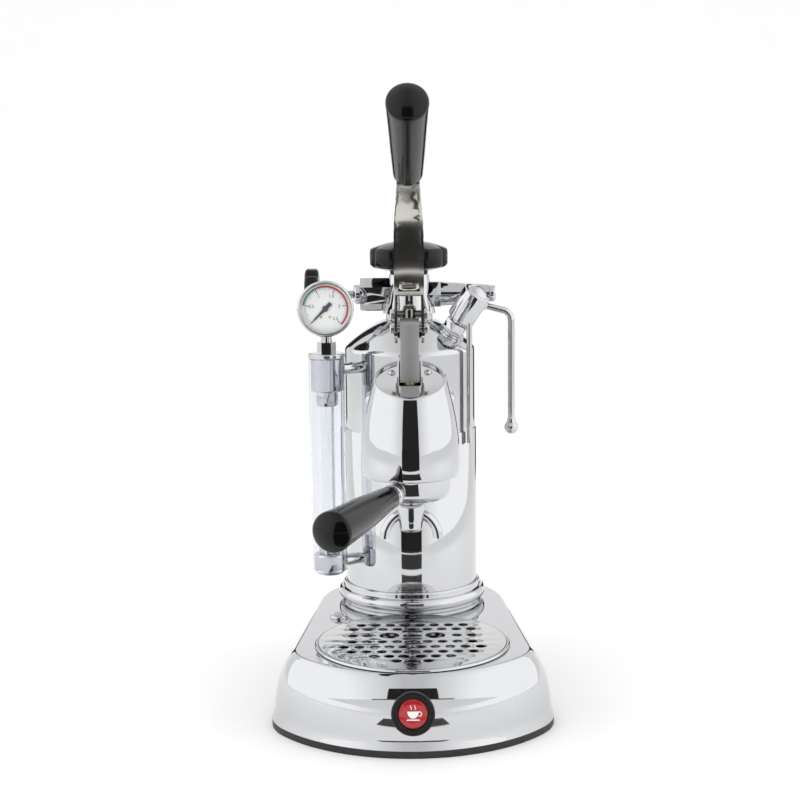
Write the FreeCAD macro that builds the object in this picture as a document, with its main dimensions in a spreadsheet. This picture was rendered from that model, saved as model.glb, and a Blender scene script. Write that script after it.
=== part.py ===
import FreeCAD, Part
import math
import os

import Sketcher
from FreeCAD import Vector

# Manual lever espresso machine, in millimetres. The origin is the centre of the base's footprint on the
# table, +Z is up, -Y is the front, where the lever and the portafilter are, and +X is the steam wand's side.

os.makedirs("parts", exist_ok=True)
doc = FreeCAD.newDocument("EspressoMachine")


class Size:
    """A length or an angle: its number, and the expression over the sheet that gives it."""

    def __init__(self, text, value):
        self.text = text
        self.value = float(value)

    def __add__(self, other):
        other = size_of(other)
        return Size(f"({self.text} + {other.text})", self.value + other.value)

    def __sub__(self, other):
        other = size_of(other)
        return Size(f"({self.text} - {other.text})", self.value - other.value)

    def __mul__(self, other):
        other = size_of(other)
        return Size(f"({self.text} * {other.text})", self.value * other.value)

    def __truediv__(self, other):
        other = size_of(other)
        return Size(f"({self.text} / {other.text})", self.value / other.value)

    def __radd__(self, other):
        return size_of(other) + self

    def __rsub__(self, other):
        return size_of(other) - self

    def __rmul__(self, other):
        return size_of(other) * self

    def __neg__(self):
        return Size(f"(-{self.text})", -self.value)


def size_of(number):
    """A Size for a plain number, or the Size itself."""
    if isinstance(number, Size):
        return number
    return Size(f"({number:g})", number)


def sine(angle):
    return Size(f"sin({angle.text} * 1deg)", math.sin(math.radians(angle.value)))


def cosine(angle):
    return Size(f"cos({angle.text} * 1deg)", math.cos(math.radians(angle.value)))


def root(length):
    return Size(f"sqrt({length.text})", math.sqrt(length.value))


def dome(foot, rise):
    """The radius of a dome that is centred on its axis, from its foot's radius and its rise."""
    foot = size_of(foot)
    return (foot * foot + rise * rise) / (2 * rise)


class Sheet:
    """The driving sizes: a spreadsheet of plain numbers, each with an alias."""

    def __init__(self, rows):
        self.cells = doc.addObject("Spreadsheet::Sheet", "Sheet")
        for row, (alias, number) in enumerate(rows, start=1):
            self.cells.set(f"A{row}", alias)
            self.cells.set(f"B{row}", str(number))
            self.cells.setAlias(f"B{row}", alias)
            setattr(self, alias, Size(f"Sheet.{alias}", number))
        doc.recompute()


d = Sheet([
    # clearances
    ("running", 0.05),          # radial play of a shaft that turns or slides in its bore
    ("apart", 0.3),             # gap between pieces that move past each other
    ("seat", 0.1),              # gap round a fixed piece that sits in a hole
    # base
    ("baseWidth", 198),
    ("baseDepth", 290),
    ("deckHeight", 54),
    ("skirtHeight", 5),
    ("shellWall", 2),
    ("frontArc", 110.5),
    ("cornerArc", 50),
    ("rearArc", 86),
    ("shoulderInset", 17.5),
    # badge on the front wall
    ("badgeRadius", 14.6),
    ("badgeHeight", 29.5),
    ("badgeLean", 11),
    ("badgeDepth", 7),
    ("discRadius", 9.7),
    # pilot lamp on the deck
    ("lampRadius", 6.5),
    ("lampLeft", 54.5),
    ("lampBack", 4),
    # drip tray and grille
    ("trayRadius", 68.6),
    ("trayFront", 62.9),
    ("trayDepth", 30),
    ("trayWall", 1.2),
    ("trayRim", 2.2),
    ("grilleRadius", 66.2),
    ("grilleThick", 1),
    ("holeRadius", 3.6),
    ("holePitch", 10.55),
    ("dripRadius", 7.2),
    ("dripSpread", 16.3),
    # boiler
    ("boilerBack", 63),
    ("boilerRadius", 50.3),
    ("boilerWall", 1.5),
    ("boilerStep", 1),
    ("seamHeight", 188.5),
    ("shoulderHeight", 247.5),
    ("domeHeight", 270.5),
    ("collarRadius", 56.2),
    ("collarTop", 70),
    ("floorThick", 4),
    # filler neck and cap
    ("neckFoot", 19.8),
    ("neckTop", 14.7),
    ("neckHeight", 305),
    ("fillerBore", 10.5),
    ("capRadius", 29.4),
    ("capHeight", 330),
    ("gasketThick", 2),
    # steam valve and wand
    ("valveHeight", 289.5),
    ("valveFlats", 21.5),
    ("valveReach", 37),
    ("spindleRadius", 3),
    ("knobRadius", 20),
    ("knobWidth", 11),
    ("knobReach", 78.5),
    ("armRadius", 9.3),
    ("armEndRadius", 6.6),
    ("armReach", 65.3),
    ("wandRadius", 2.6),
    ("wandReach", 77.3),
    ("wandBottom", 186.5),
    ("wandBall", 5.3),
    # safety valve
    ("reliefTurn", 30),
    ("reliefTilt", 35),
    ("reliefFoot", 36),
    ("hoodRadius", 10.8),
    ("hoodLength", 25),
    ("ventRadius", 2.1),
    ("ventRight", 44.4),
    ("ventForward", 29.5),
    ("ventBottom", 180),
    # sight glass and gauge
    ("glassLeft", 61),
    ("glassForward", 45),
    ("guardRadius", 13.2),
    ("guardWall", 1.1),
    ("fittingRadius", 11.9),
    ("fittingRim", 13.4),
    ("glassBottom", 84.8),
    ("bottomFitting", 15.4),
    ("topFitting", 28.2),
    ("glassTop", 250.8),
    ("tubeRadius", 4.8),
    ("tubeWall", 1.2),
    ("nutFlats", 14.4),
    ("nutHeight", 11),
    ("gaugeHeight", 284),
    ("gaugeRadius", 20.6),
    ("gaugeFace", 10.5),
    ("gaugeDepth", 16),
    ("dialRadius", 17.5),
    # group
    ("groupReach", 111),
    ("groupRadius", 26.5),
    ("groupBore", 24),
    ("groupBottom", 181),
    ("groupTop", 226),
    ("groupLid", 4.5),
    ("inletHeight", 217.5),
    ("inletRadius", 7.5),
    ("flangeHalf", 28),
    ("flangeEnd", 6),
    ("flangeMiddle", 14),
    ("flangeFront", 4),
    ("flangeThick", 6),
    ("boltRadius", 3),
    # bell
    ("bellBottom", 172.3),
    ("bellWall", 1.5),
    ("coverHeight", 241.7),
    ("coverTilt", 22.3),
    ("coverThick", 1.6),
    ("coverDrop", 2),
    ("slotWidth", 15.2),
    ("lipHeight", 2.6),
    ("lipWidth", 1.2),
    # lever
    ("fulcrumBack", 18),
    ("fulcrumHeight", 283.4),
    ("rodPinHeight", 275.3),
    ("fulcrumPin", 3),
    ("rodPin", 2.5),
    ("pinHead", 3.8),
    ("postRadius", 5),
    ("eyeRadius", 6.8),
    ("leverWidth", 20.5),
    ("forkGap", 16.6),
    ("forkTop", 298.4),
    ("neckingWidth", 15),
    ("linkWidth", 13.4),
    ("linkFoot", 238),
    ("linkTop", 281.6),
    ("yokeFront", 4.6),
    ("yokeBack", 8.8),
    ("yokePlay", 1.5),
    ("rodRadius", 5),
    ("leverBend", 100.3),
    ("gripTilt", 30),
    ("gripLength", 96),
    ("gripNear", 10),
    ("gripFar", 13.5),
    ("studRadius", 4),
    # piston
    ("pistonBottom", 191),
    ("pistonThick", 10),
    ("sealHeight", 2.4),
    # portafilter
    ("cupRadius", 28.4),
    ("cupBottom", 155.5),
    ("cupTop", 176),
    ("cupWall", 2.6),
    ("cupFloor", 3),
    ("basketRadius", 24.6),
    ("basketWall", 0.8),
    ("lugRadius", 30.6),
    ("handleTurn", 22.5),
    ("handleDroop", 2.3),
    ("handleHeight", 163.3),
    ("ferruleStart", 31),
    ("ferruleEnd", 39),
    ("handleEnd", 138),
    ("handleNear", 8),
    ("handleFar", 13.6),
    ("spoutRadius", 18.9),
    ("spoutTube", 3.5),
    ("spoutTip", 126.6),
    ("bossRadius", 9.7),
    # rear fittings
    ("fittingsApart", 28),
    ("fittingsHeight", 28),
    ("inletWidth", 28),
    ("inletTall", 21),
    ("switchWidth", 16),
    ("switchTall", 24),
])

X_AXIS = (1, 0, 0)
Y_AXIS = (0, 1, 0)
Z_AXIS = (0, 0, 1)
WEST = (0, -1, 0)               # turned by 90 about this axis, local +Z points along -X

boiler_y = d.boilerBack
group_y = d.boilerBack - d.groupReach
tray_y = -d.trayFront
fulcrum_y = group_y + d.fulcrumBack
glass_x = -d.glassLeft
glass_y = d.boilerBack - d.glassForward

nodes = []


# ---------------------------------------------------------------- helpers

def put(piece, at=(0, 0, 0), axis=Z_AXIS, angle=0):
    """Binds the placement of a piece: its position, and one turn about an axis."""
    x, y, z = [size_of(value).text for value in at]
    i, j, k = [size_of(value).text for value in axis]
    turn = size_of(angle).text
    piece.setExpression(
        "Placement",
        f"placement(vector({x}; {y}; {z}); rotation(vector({i}; {j}; {k}); {turn}))",
    )
    return piece


def keep(piece, label):
    """Makes a piece a named sub-part of the machine."""
    piece.Label = label
    nodes.append(piece)
    return piece


def draw(sketch, outline):
    """Closes an outline of (x, y) or (x, y, arc radius) points, each bound to the sheet. An arc runs from
    its point to the next one, and bulges to the left of that direction when its radius is negative."""
    count = len(outline)
    starts = []
    for index in range(count):
        here = outline[index]
        there = outline[(index + 1) % count]
        a = Vector(size_of(here[0]).value, size_of(here[1]).value, 0)
        b = Vector(size_of(there[0]).value, size_of(there[1]).value, 0)
        if len(here) == 2:
            geometry = sketch.addGeometry(Part.LineSegment(a, b))
            starts.append((geometry, 1, 2))
            continue
        radius = size_of(here[2])
        chord = b - a
        side = Vector(-chord.y, chord.x, 0).normalize()
        rise = math.sqrt(radius.value ** 2 - chord.Length ** 2 / 4)
        towards = 1 if radius.value > 0 else -1
        centre = (a + b) * 0.5 + side * rise * towards
        first, last = (a, b) if towards > 0 else (b, a)
        angles = [math.atan2(p.y - centre.y, p.x - centre.x) for p in (first, last)]
        circle = Part.Circle(centre, Vector(0, 0, 1), abs(radius.value))
        geometry = sketch.addGeometry(Part.ArcOfCircle(circle, angles[0], angles[1]))
        starts.append((geometry, 1, 2) if towards > 0 else (geometry, 2, 1))
        named = sketch.addConstraint(Sketcher.Constraint("Radius", geometry, abs(radius.value)))
        sketch.setExpression(f"Constraints[{named}]", radius.text if towards > 0 else (-radius).text)
    for index in range(count):
        geometry, start, _ = starts[index]
        before, _, end = starts[index - 1]
        sketch.addConstraint(Sketcher.Constraint("Coincident", before, end, geometry, start))
        for kind, line, value in (("DistanceX", -2, outline[index][0]), ("DistanceY", -1, outline[index][1])):
            value = size_of(value)
            if abs(value.value) < 1e-9:
                sketch.addConstraint(Sketcher.Constraint("PointOnObject", geometry, start, line))
                continue
            named = sketch.addConstraint(Sketcher.Constraint(kind, -1, 1, geometry, start, value.value))
            sketch.setExpression(f"Constraints[{named}]", value.text)


def sketch_on(body, plane, outline=None):
    """A sketch on one of the body's own origin planes."""
    sketch = body.newObject("Sketcher::SketchObject", body.Name + "_sketch")
    role = [feature for feature in body.Origin.OriginFeatures if feature.Role == plane][0]
    sketch.AttachmentSupport = (role, [""])
    sketch.MapMode = "FlatFace"
    if outline:
        draw(sketch, outline)
    return sketch


def turned(name, profile, at=(0, 0, 0), axis=Z_AXIS, angle=0):
    """A piece turned about its own Z axis from a profile of (radius, height) points."""
    body = doc.addObject("PartDesign::Body", name)
    sketch = sketch_on(body, "XZ_Plane", profile)
    spin = body.newObject("PartDesign::Revolution", name + "_turned")
    spin.Profile = sketch
    spin.ReferenceAxis = (sketch, ["V_Axis"])
    spin.Angle = 360
    return put(body, at, axis, angle)


def padded(name, outline, depth, plane, at=(0, 0, 0)):
    """A plate of one outline, half its depth each side of an origin plane."""
    body = doc.addObject("PartDesign::Body", name)
    pad = body.newObject("PartDesign::Pad", name + "_pad")
    pad.Profile = sketch_on(body, plane, outline)
    pad.setExpression("Length", size_of(depth).text)
    pad.Midplane = True
    return put(body, at)


def cylinder(radius, height, at=(0, 0, 0), axis=Z_AXIS, angle=0, sector=360):
    piece = doc.addObject("Part::Cylinder", "Rod")
    piece.setExpression("Radius", size_of(radius).text)
    piece.setExpression("Height", size_of(height).text)
    piece.Angle = sector
    return put(piece, at, axis, angle)


def cone(low, high, height, at=(0, 0, 0), axis=Z_AXIS, angle=0):
    piece = doc.addObject("Part::Cone", "Taper")
    piece.setExpression("Radius1", size_of(low).text)
    piece.setExpression("Radius2", size_of(high).text)
    piece.setExpression("Height", size_of(height).text)
    return put(piece, at, axis, angle)


def block(width, depth, height, at, axis=Z_AXIS, angle=0):
    """A box whose base is centred on its position in X and Y."""
    box = doc.addObject("Part::Box", "Block")
    box.setExpression("Length", size_of(width).text)
    box.setExpression("Width", size_of(depth).text)
    box.setExpression("Height", size_of(height).text)
    x, y, z = at
    return put(box, (x - size_of(width) / 2, y - size_of(depth) / 2, size_of(z)), axis, angle)


def hexagon(flats, height, at=(0, 0, 0), axis=Z_AXIS, angle=0):
    """A hexagonal prism of a given size across its flats."""
    prism = doc.addObject("Part::Prism", "Hexagon")
    prism.Polygon = 6
    prism.setExpression("Circumradius", (size_of(flats) / math.sqrt(3)).text)
    prism.setExpression("Height", size_of(height).text)
    return put(prism, at, axis, angle)


def joined(*pieces):
    fused = doc.addObject("Part::MultiFuse", "Joined")
    fused.Shapes = list(pieces)
    return fused


def cut(piece, *tools):
    """A piece less its tools."""
    result = doc.addObject("Part::Cut", "Trimmed")
    result.Base = piece
    result.Tool = tools[0] if len(tools) == 1 else joined(*tools)
    return result


def common(first, second):
    result = doc.addObject("Part::Common", "Shared")
    result.Base = first
    result.Tool = second
    return result


def together(*pieces):
    """Separate solids of one kind, kept as one sub-part."""
    compound = doc.addObject("Part::Compound", "Group")
    compound.Links = list(pieces)
    return compound


def scripted(shape, label):
    """A sub-part whose shape is made by calculation."""
    feature = doc.addObject("Part::Feature", label)
    feature.Shape = shape
    feature.Placement = FreeCAD.Placement()
    return keep(feature, label)


# ---------------------------------------------------------------- base

def base_outline(inset, height):
    """The base's plan at one height: a broad front arc, two corner arcs, straight sides and a rear arc. The
    whole outline moves forward a little as it draws in, so that the front wall stands steeper."""
    forward = -0.23 * inset
    half = d.baseWidth.value / 2
    front = d.frontArc.value
    corner = d.cornerArc.value
    rear = d.rearArc.value
    front_y = front - d.baseDepth.value / 2
    corner_x = half - corner
    corner_y = front_y - math.sqrt((front - corner) ** 2 - corner_x ** 2)
    rear_y = d.baseDepth.value / 2 - rear
    run = math.hypot(corner_x, rear_y - corner_y)
    lean = math.atan2(rear_y - corner_y, -corner_x) - math.acos((corner - rear) / run)
    normal = Vector(math.cos(lean), math.sin(lean), 0)
    meet = Vector(corner_x, corner_y - front_y, 0).normalize()

    def mirrored(point):
        return Vector(-point.x, point.y, point.z)

    def on_arc(centre_x, centre_y, radius, direction):
        reach = radius - inset
        return Vector(centre_x + direction.x * reach, centre_y + direction.y * reach + forward, height)

    nose = on_arc(0, front_y, front, Vector(0, -1, 0))
    tail = on_arc(0, rear_y, rear, Vector(0, 1, 0))
    turn_in = on_arc(0, front_y, front, meet)
    middle = (meet + normal).normalize()
    turn_mid = on_arc(corner_x, corner_y, corner, middle)
    turn_out = on_arc(corner_x, corner_y, corner, normal)
    side_end = on_arc(0, rear_y, rear, normal)
    edges = [
        Part.Arc(mirrored(turn_in), nose, turn_in).toShape(),
        Part.Arc(turn_in, turn_mid, turn_out).toShape(),
        Part.LineSegment(turn_out, side_end).toShape(),
        Part.Arc(side_end, tail, mirrored(side_end)).toShape(),
        Part.LineSegment(mirrored(side_end), mirrored(turn_out)).toShape(),
        Part.Arc(mirrored(turn_out), mirrored(turn_mid), mirrored(turn_in)).toShape(),
    ]
    return Part.Wire(edges)


# The wall's section: share of its height above the skirt, and share of the shoulder's inset.
WALL_SECTION = [(0, 0), (0.14, 0.1), (0.27, 0.14), (0.45, 0.22), (0.62, 0.34), (0.8, 0.55), (0.93, 0.79), (1, 1)]


def base_solid(offset, top):
    """The base's solid shape, drawn in all round by an offset, up to a height."""
    bottom = d.skirtHeight.value
    rise = top - bottom
    wires = []
    for share, inset in WALL_SECTION:
        wires.append(base_outline(inset * d.shoulderInset.value + offset, bottom + share * rise))
    return Part.makeLoft(wires, True, False)


def drill(radius, height, at, direction=(0, 0, 1)):
    """A plain cylinder shape, used as a cutter of scripted shapes."""
    return Part.makeCylinder(radius, height, Vector(*at), Vector(*direction))


def slab(width, depth, height, centre):
    """A plain box shape centred on a point."""
    corner = Vector(centre[0] - width / 2, centre[1] - depth / 2, centre[2] - height / 2)
    return Part.makeBox(width, depth, height, corner)


badge_y = -(d.baseDepth / 2) + d.shoulderInset * 0.25 + 0.6
badge_axis = (0, -math.cos(math.radians(d.badgeLean.value)), math.sin(math.radians(d.badgeLean.value)))
badge_angle = 90 - d.badgeLean
tray_well = d.trayRadius - 5.6
deck = d.deckHeight
rear_face = d.baseDepth / 2 - 4


def make_base():
    outer = base_solid(0, deck.value)
    inner = base_solid(d.shellWall.value, deck.value - d.shellWall.value)
    play = d.seat.value
    side = d.fittingsApart.value
    level = d.fittingsHeight.value
    back = rear_face.value
    cutters = [
        inner,
        drill((tray_well + d.apart).value, 20, (0, tray_y.value, deck.value - 10)),
        drill(d.boilerRadius.value + play, 20, (0, boiler_y.value, deck.value - 10)),
        drill(d.badgeRadius.value - 1.5 + play, 24, (
            0, badge_y.value - 12 * badge_axis[1], d.badgeHeight.value - 12 * badge_axis[2]), badge_axis),
        drill(d.lampRadius.value - 1.2 + play, 20, (
            -d.lampLeft.value, d.lampBack.value, deck.value - 10)),
        slab(d.inletWidth.value + 2 * play, 40, d.inletTall.value + 2 * play, (-side, back - 4, level)),
        slab(d.switchWidth.value + 2 * play, 40, d.switchTall.value + 2 * play, (side, back - 4, level)),
    ]
    shell = outer
    for cutter in cutters:
        shell = shell.cut(cutter)
    scripted(shell, "base_shell")
    plate = Part.Face(base_outline(0, 0)).extrude(Vector(0, 0, d.skirtHeight.value))
    hollow = Part.Face(base_outline(d.shellWall.value + 1, 2.5)).extrude(Vector(0, 0, d.skirtHeight.value))
    scripted(plate.cut(hollow), "base_skirt")
    return nodes[-2]


base_shell = make_base()

# The bezel's local +Z points out of the wall, forwards and a little up. Its rim is trimmed to the wall.
badge_at = (0, badge_y + 2.6, d.badgeHeight - 0.5)
keep(cut(turned("BadgeBezel", [
    (d.discRadius, 0), (d.discRadius, d.badgeDepth - 1.6),
    (d.discRadius + 1.2, d.badgeDepth), (d.badgeRadius - 1, d.badgeDepth),
    (d.badgeRadius, d.badgeDepth - 1.2), (d.badgeRadius, d.badgeDepth - 4.6),
    (d.badgeRadius - 1.5, d.badgeDepth - 4.6), (d.badgeRadius - 1.5, 0),
], badge_at, X_AXIS, badge_angle), base_shell), "badge_bezel")
keep(turned("BadgeDisc", [
    (0, 0), (d.discRadius, 0), (d.discRadius, d.badgeDepth - 1.9), (0, d.badgeDepth - 1.3),
], badge_at, X_AXIS, badge_angle), "badge_disc")

lamp_at = (-d.lampLeft, d.lampBack, deck)
keep(turned("LampBezel", [
    (d.lampRadius - 2.4, -6), (d.lampRadius - 1.2, -6), (d.lampRadius - 1.2, 0), (d.lampRadius, 0),
    (d.lampRadius, 1.6), (d.lampRadius - 0.8, 2.4), (d.lampRadius - 2.4, 2.4),
], lamp_at), "lamp_bezel")
keep(turned("LampLens", [
    (0, -6), (d.lampRadius - 2.4, -6), (d.lampRadius - 2.4, 2.6, dome(d.lampRadius - 2.4, 2)), (0, 4.6),
], lamp_at), "lamp_lens")

inlet_depth = 22
inlet_at = (-d.fittingsApart, rear_face - inlet_depth / 2, d.fittingsHeight - d.inletTall / 2)
inlet_body = cut(
    block(d.inletWidth, inlet_depth, d.inletTall, inlet_at),
    block(d.inletWidth - 6, 17, d.inletTall - 6, (
        -d.fittingsApart, rear_face - 8, d.fittingsHeight - d.inletTall / 2 + 3)),
)
prongs = []
for side, lift in ((-7, -1.5), (7, -1.5), (0, 2)):
    prongs.append(block(2, 12, 4, (side - d.fittingsApart, rear_face - 10.5, d.fittingsHeight + lift)))
keep(joined(inlet_body, *prongs), "mains_inlet")

rocker_wall = 2.5
housing_depth = 18
switch_x = d.fittingsApart
switch_low = d.fittingsHeight - d.switchTall / 2
rocker_pin = 1.5
rocker_y = rear_face - 4.8
keep(cut(
    block(d.switchWidth, housing_depth, d.switchTall, (switch_x, rear_face - housing_depth / 2, switch_low)),
    block(d.switchWidth - 2 * rocker_wall, 12, d.switchTall - 2 * rocker_wall, (
        switch_x, rear_face - 4, switch_low + rocker_wall)),
    cylinder(rocker_pin + d.running, d.switchWidth - 2, (
        switch_x - d.switchWidth / 2 + 1, rocker_y, d.fittingsHeight), Y_AXIS, 90),
), "switch_housing")
rocker_half = d.switchTall / 2 - rocker_wall - 0.9
rocker = padded("SwitchRocker", [
    (0, -rocker_half), (6.4, 0.6 - rocker_half), (4.6, 0), (6.4, rocker_half - 0.6), (0, rocker_half), (-2.5, 0),
], d.switchWidth - 2 * rocker_wall - 2 * d.apart, "YZ_Plane", (switch_x, rocker_y, d.fittingsHeight))
keep(joined(rocker, cylinder(rocker_pin, d.switchWidth - 2 - 2 * d.apart, (
    switch_x - d.switchWidth / 2 + 1 + d.apart, rocker_y, d.fittingsHeight), Y_AXIS, 90)), "switch_rocker")


# ---------------------------------------------------------------- drip tray

tray_floor = deck - d.trayDepth
tray_seat = deck + d.apart
ledge = tray_seat + 0.7
keep(turned("DripTray", [
    (0, tray_floor), (tray_well - 3, tray_floor), (tray_well, tray_floor + 3), (tray_well, tray_seat),
    (d.trayRadius - 0.4, tray_seat), (d.trayRadius, tray_seat + 0.5), (d.trayRadius - 0.5, deck + d.trayRim),
    (d.grilleRadius + d.apart, deck + d.trayRim), (d.grilleRadius + d.apart, ledge),
    (tray_well - d.trayWall, ledge), (tray_well - d.trayWall, tray_floor + 3.5),
    (tray_well - 3.5, tray_floor + d.trayWall), (0, tray_floor + d.trayWall),
], (0, tray_y, 0)), "drip_tray")

# Rows of holes from the back to the front: distance behind the centre, and how many holes.
GRILLE_ROWS = [(38, 8), (27.5, 9), (12, 9), (-3, 9), (-15.3, 10), (-26.5, 9), (-37, 6), (-47.5, 3)]
DRIP_ROW = 2


def make_grille():
    body = doc.addObject("PartDesign::Body", "DripGrille")
    disc = body.newObject("PartDesign::Pad", "GrilleDisc")
    outline = sketch_on(body, "XY_Plane")
    edge = outline.addGeometry(Part.Circle(Vector(), Vector(0, 0, 1), d.grilleRadius.value))
    outline.addConstraint(Sketcher.Constraint("Coincident", edge, 3, -1, 1))
    outline.addConstraint(Sketcher.Constraint("Radius", edge, d.grilleRadius.value))
    outline.setExpression("Constraints[1]", d.grilleRadius.text)
    disc.Profile = outline
    disc.setExpression("Length", d.grilleThick.text)
    doc.recompute()
    holes = sketch_on(body, "XY_Plane")

    def punch(x, y, radius):
        x = size_of(x)
        y = size_of(y)
        ring = holes.addGeometry(Part.Circle(Vector(x.value, y.value, 0), Vector(0, 0, 1), radius.value))
        for kind, size in (("Radius", radius), ("DistanceX", x), ("DistanceY", y)):
            if kind == "Radius":
                rule = Sketcher.Constraint(kind, ring, size.value)
            elif abs(size.value) < 1e-9:
                line = -2 if kind == "DistanceX" else -1
                holes.addConstraint(Sketcher.Constraint("PointOnObject", ring, 3, line))
                continue
            else:
                rule = Sketcher.Constraint(kind, -1, 1, ring, 3, size.value)
            named = holes.addConstraint(rule)
            holes.setExpression(f"Constraints[{named}]", size.text)

    for row, (behind, count) in enumerate(GRILLE_ROWS):
        for index in range(count):
            steps = index - (count - 1) / 2
            if row == DRIP_ROW and 1 <= abs(steps) <= 2:
                continue
            punch(d.holePitch * steps, behind, d.holeRadius)
    for side in (-1, 1):
        punch(d.dripSpread * side, GRILLE_ROWS[DRIP_ROW][0], d.dripRadius)
    pocket = body.newObject("PartDesign::Pocket", "GrilleHoles")
    pocket.Profile = holes
    pocket.Type = "ThroughAll"
    pocket.Midplane = True
    solid = disc.Shape.Volume
    doc.recompute()
    if pocket.Shape.Volume > 0.9 * solid:
        raise RuntimeError("the grille's holes cut nothing")
    put(body, (0, tray_y, ledge + d.apart))
    keep(body, "drip_grille")


make_grille()


# ---------------------------------------------------------------- boiler

upper_radius = d.boilerRadius - d.boilerStep
flange_radius = d.boilerRadius + 7.7
lower_start = deck - d.shellWall - 4
wall = d.boilerWall
neck_bottom = d.domeHeight + 3

keep(turned("Collar", [
    (d.boilerRadius, deck), (d.collarRadius - 3.4, deck), (d.collarRadius - 3.4, deck + 2.6),
    (d.collarRadius - 1.7, deck + 3, 5), (d.collarRadius - 1.7, deck + 11),
    (d.collarRadius - 3.9, deck + 11.6), (d.collarRadius - 3.9, d.collarTop - 0.8),
    (d.collarRadius - 4.7, d.collarTop), (d.boilerRadius, d.collarTop),
], (0, boiler_y, 0)), "boiler_collar")

sight_distance = root(d.glassLeft * d.glassLeft + d.glassForward * d.glassForward)
sight_axis = (d.glassForward / sight_distance, -(d.glassLeft / sight_distance), 0)
low_port = d.glassBottom + d.bottomFitting / 2
high_port = d.glassTop - d.topFitting / 2 + 1
PORT_RADIUS = 4.5


def sight_port(radius, start, height, length):
    """A horizontal rod from the boiler towards the sight glass."""
    share = start / sight_distance
    at = (glass_x * share, boiler_y - d.glassForward * share, height)
    return cylinder(radius, length, at, sight_axis, 90)


boiler_lower = turned("BoilerLower", [
    (d.boilerRadius - wall, lower_start), (flange_radius, lower_start),
    (flange_radius, deck - d.shellWall), (d.boilerRadius, deck - d.shellWall),
    (d.boilerRadius, d.seamHeight), (d.boilerRadius - wall, d.seamHeight),
], (0, boiler_y, 0))
keep(cut(boiler_lower, sight_port(PORT_RADIUS, upper_radius - 8, low_port, 12)), "boiler_lower")

relief_axis = (sine(d.reliefTurn), cosine(d.reliefTurn), 0)
relief_rise = (d.reliefFoot - d.neckFoot) * 0.6
relief_x = d.reliefFoot * cosine(d.reliefTurn)
relief_y = boiler_y - d.reliefFoot * sine(d.reliefTurn)
relief_z = d.domeHeight - relief_rise


def along_relief(distance):
    """A point on the safety valve's axis."""
    lean = size_of(distance) * sine(d.reliefTilt)
    return (
        relief_x + lean * cosine(d.reliefTurn),
        relief_y - lean * sine(d.reliefTurn),
        relief_z + distance * cosine(d.reliefTilt),
    )


RELIEF_SHANK = 4
boiler_front = boiler_y - upper_radius
flange_back = d.flangeFront + d.flangeThick

def flange_plate(name, front, depth):
    """An oval two-bolt plate across the front of the boiler."""
    outline = [
        (d.flangeHalf, -d.flangeEnd, d.flangeEnd * 1.05), (d.flangeHalf, d.flangeEnd),
        (9, d.flangeMiddle - 1, 20), (-9, d.flangeMiddle - 1),
        (-d.flangeHalf, d.flangeEnd, d.flangeEnd * 1.05), (-d.flangeHalf, -d.flangeEnd),
        (-9, 1 - d.flangeMiddle, 20), (9, 1 - d.flangeMiddle),
    ]
    return padded(name, outline, depth, "XZ_Plane", (0, front + size_of(depth) / 2, d.inletHeight))


bolt_holes = []
for side in (-1, 1):
    bolt_holes.append(cylinder(d.boltRadius, 28, (d.flangeHalf * side, d.flangeFront - 10, d.inletHeight),
                               X_AXIS, -90))
saddle = cut(
    flange_plate("Saddle", flange_back, 26),
    cylinder(upper_radius - wall / 2, 60, (0, boiler_y, d.inletHeight - 30)),
)
inlet_bore = d.inletRadius - 3.5
inlet_hole = cylinder(inlet_bore, 60, (0, group_y + 10, d.inletHeight), X_AXIS, -90)
relief_boss = cylinder(10.2, 4, along_relief(-3), relief_axis, d.reliefTilt)
upper_skin = turned("BoilerUpper", [
    (upper_radius - wall, d.seamHeight), (upper_radius, d.seamHeight), (upper_radius, d.shoulderHeight, 5.6),
    (upper_radius - 1.7, d.shoulderHeight + 4, 100), (d.neckFoot, d.domeHeight),
    (d.fillerBore, d.domeHeight), (d.fillerBore, d.domeHeight - wall),
    (d.neckFoot, d.domeHeight - wall, -100), (upper_radius - 2.8, d.shoulderHeight + 2.9, -4.1),
    (upper_radius - wall, d.shoulderHeight),
], (0, boiler_y, 0))
relief_hole = cylinder(RELIEF_SHANK, 20, along_relief(-14), relief_axis, d.reliefTilt)
keep(cut(
    joined(upper_skin, saddle, relief_boss),
    relief_hole, inlet_hole, *bolt_holes,
    sight_port(PORT_RADIUS, upper_radius - 8, high_port, 12),
), "boiler_upper")

keep(cut(
    turned("BoilerFloor", [
        (0, lower_start - d.floorThick), (flange_radius, lower_start - d.floorThick),
        (flange_radius, lower_start), (0, lower_start),
    ], (0, boiler_y, 0)),
    cylinder(16, 20, (0, boiler_y, lower_start - 12)),
), "boiler_floor")

plug_low = lower_start - d.floorThick
loop_height = 58
heater_parts = [
    cylinder(22, 4, (0, boiler_y, plug_low - 4)),
    cylinder(16, d.floorThick, (0, boiler_y, plug_low)),
]
for side in (-1, 1):
    heater_parts.append(cylinder(4, loop_height, (side * 10, boiler_y, lower_start)))
    heater_parts.append(cylinder(3, 8, (side * 10, boiler_y, plug_low - 12)))
bend = doc.addObject("Part::Torus", "ElementBend")
bend.Radius1 = 10
bend.Radius2 = 4
bend.Angle3 = 180
heater_parts.append(put(bend, (0, boiler_y, lower_start + loop_height), X_AXIS, 90))
keep(joined(*heater_parts), "heating_element")


# ---------------------------------------------------------------- filler neck and cap

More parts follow.
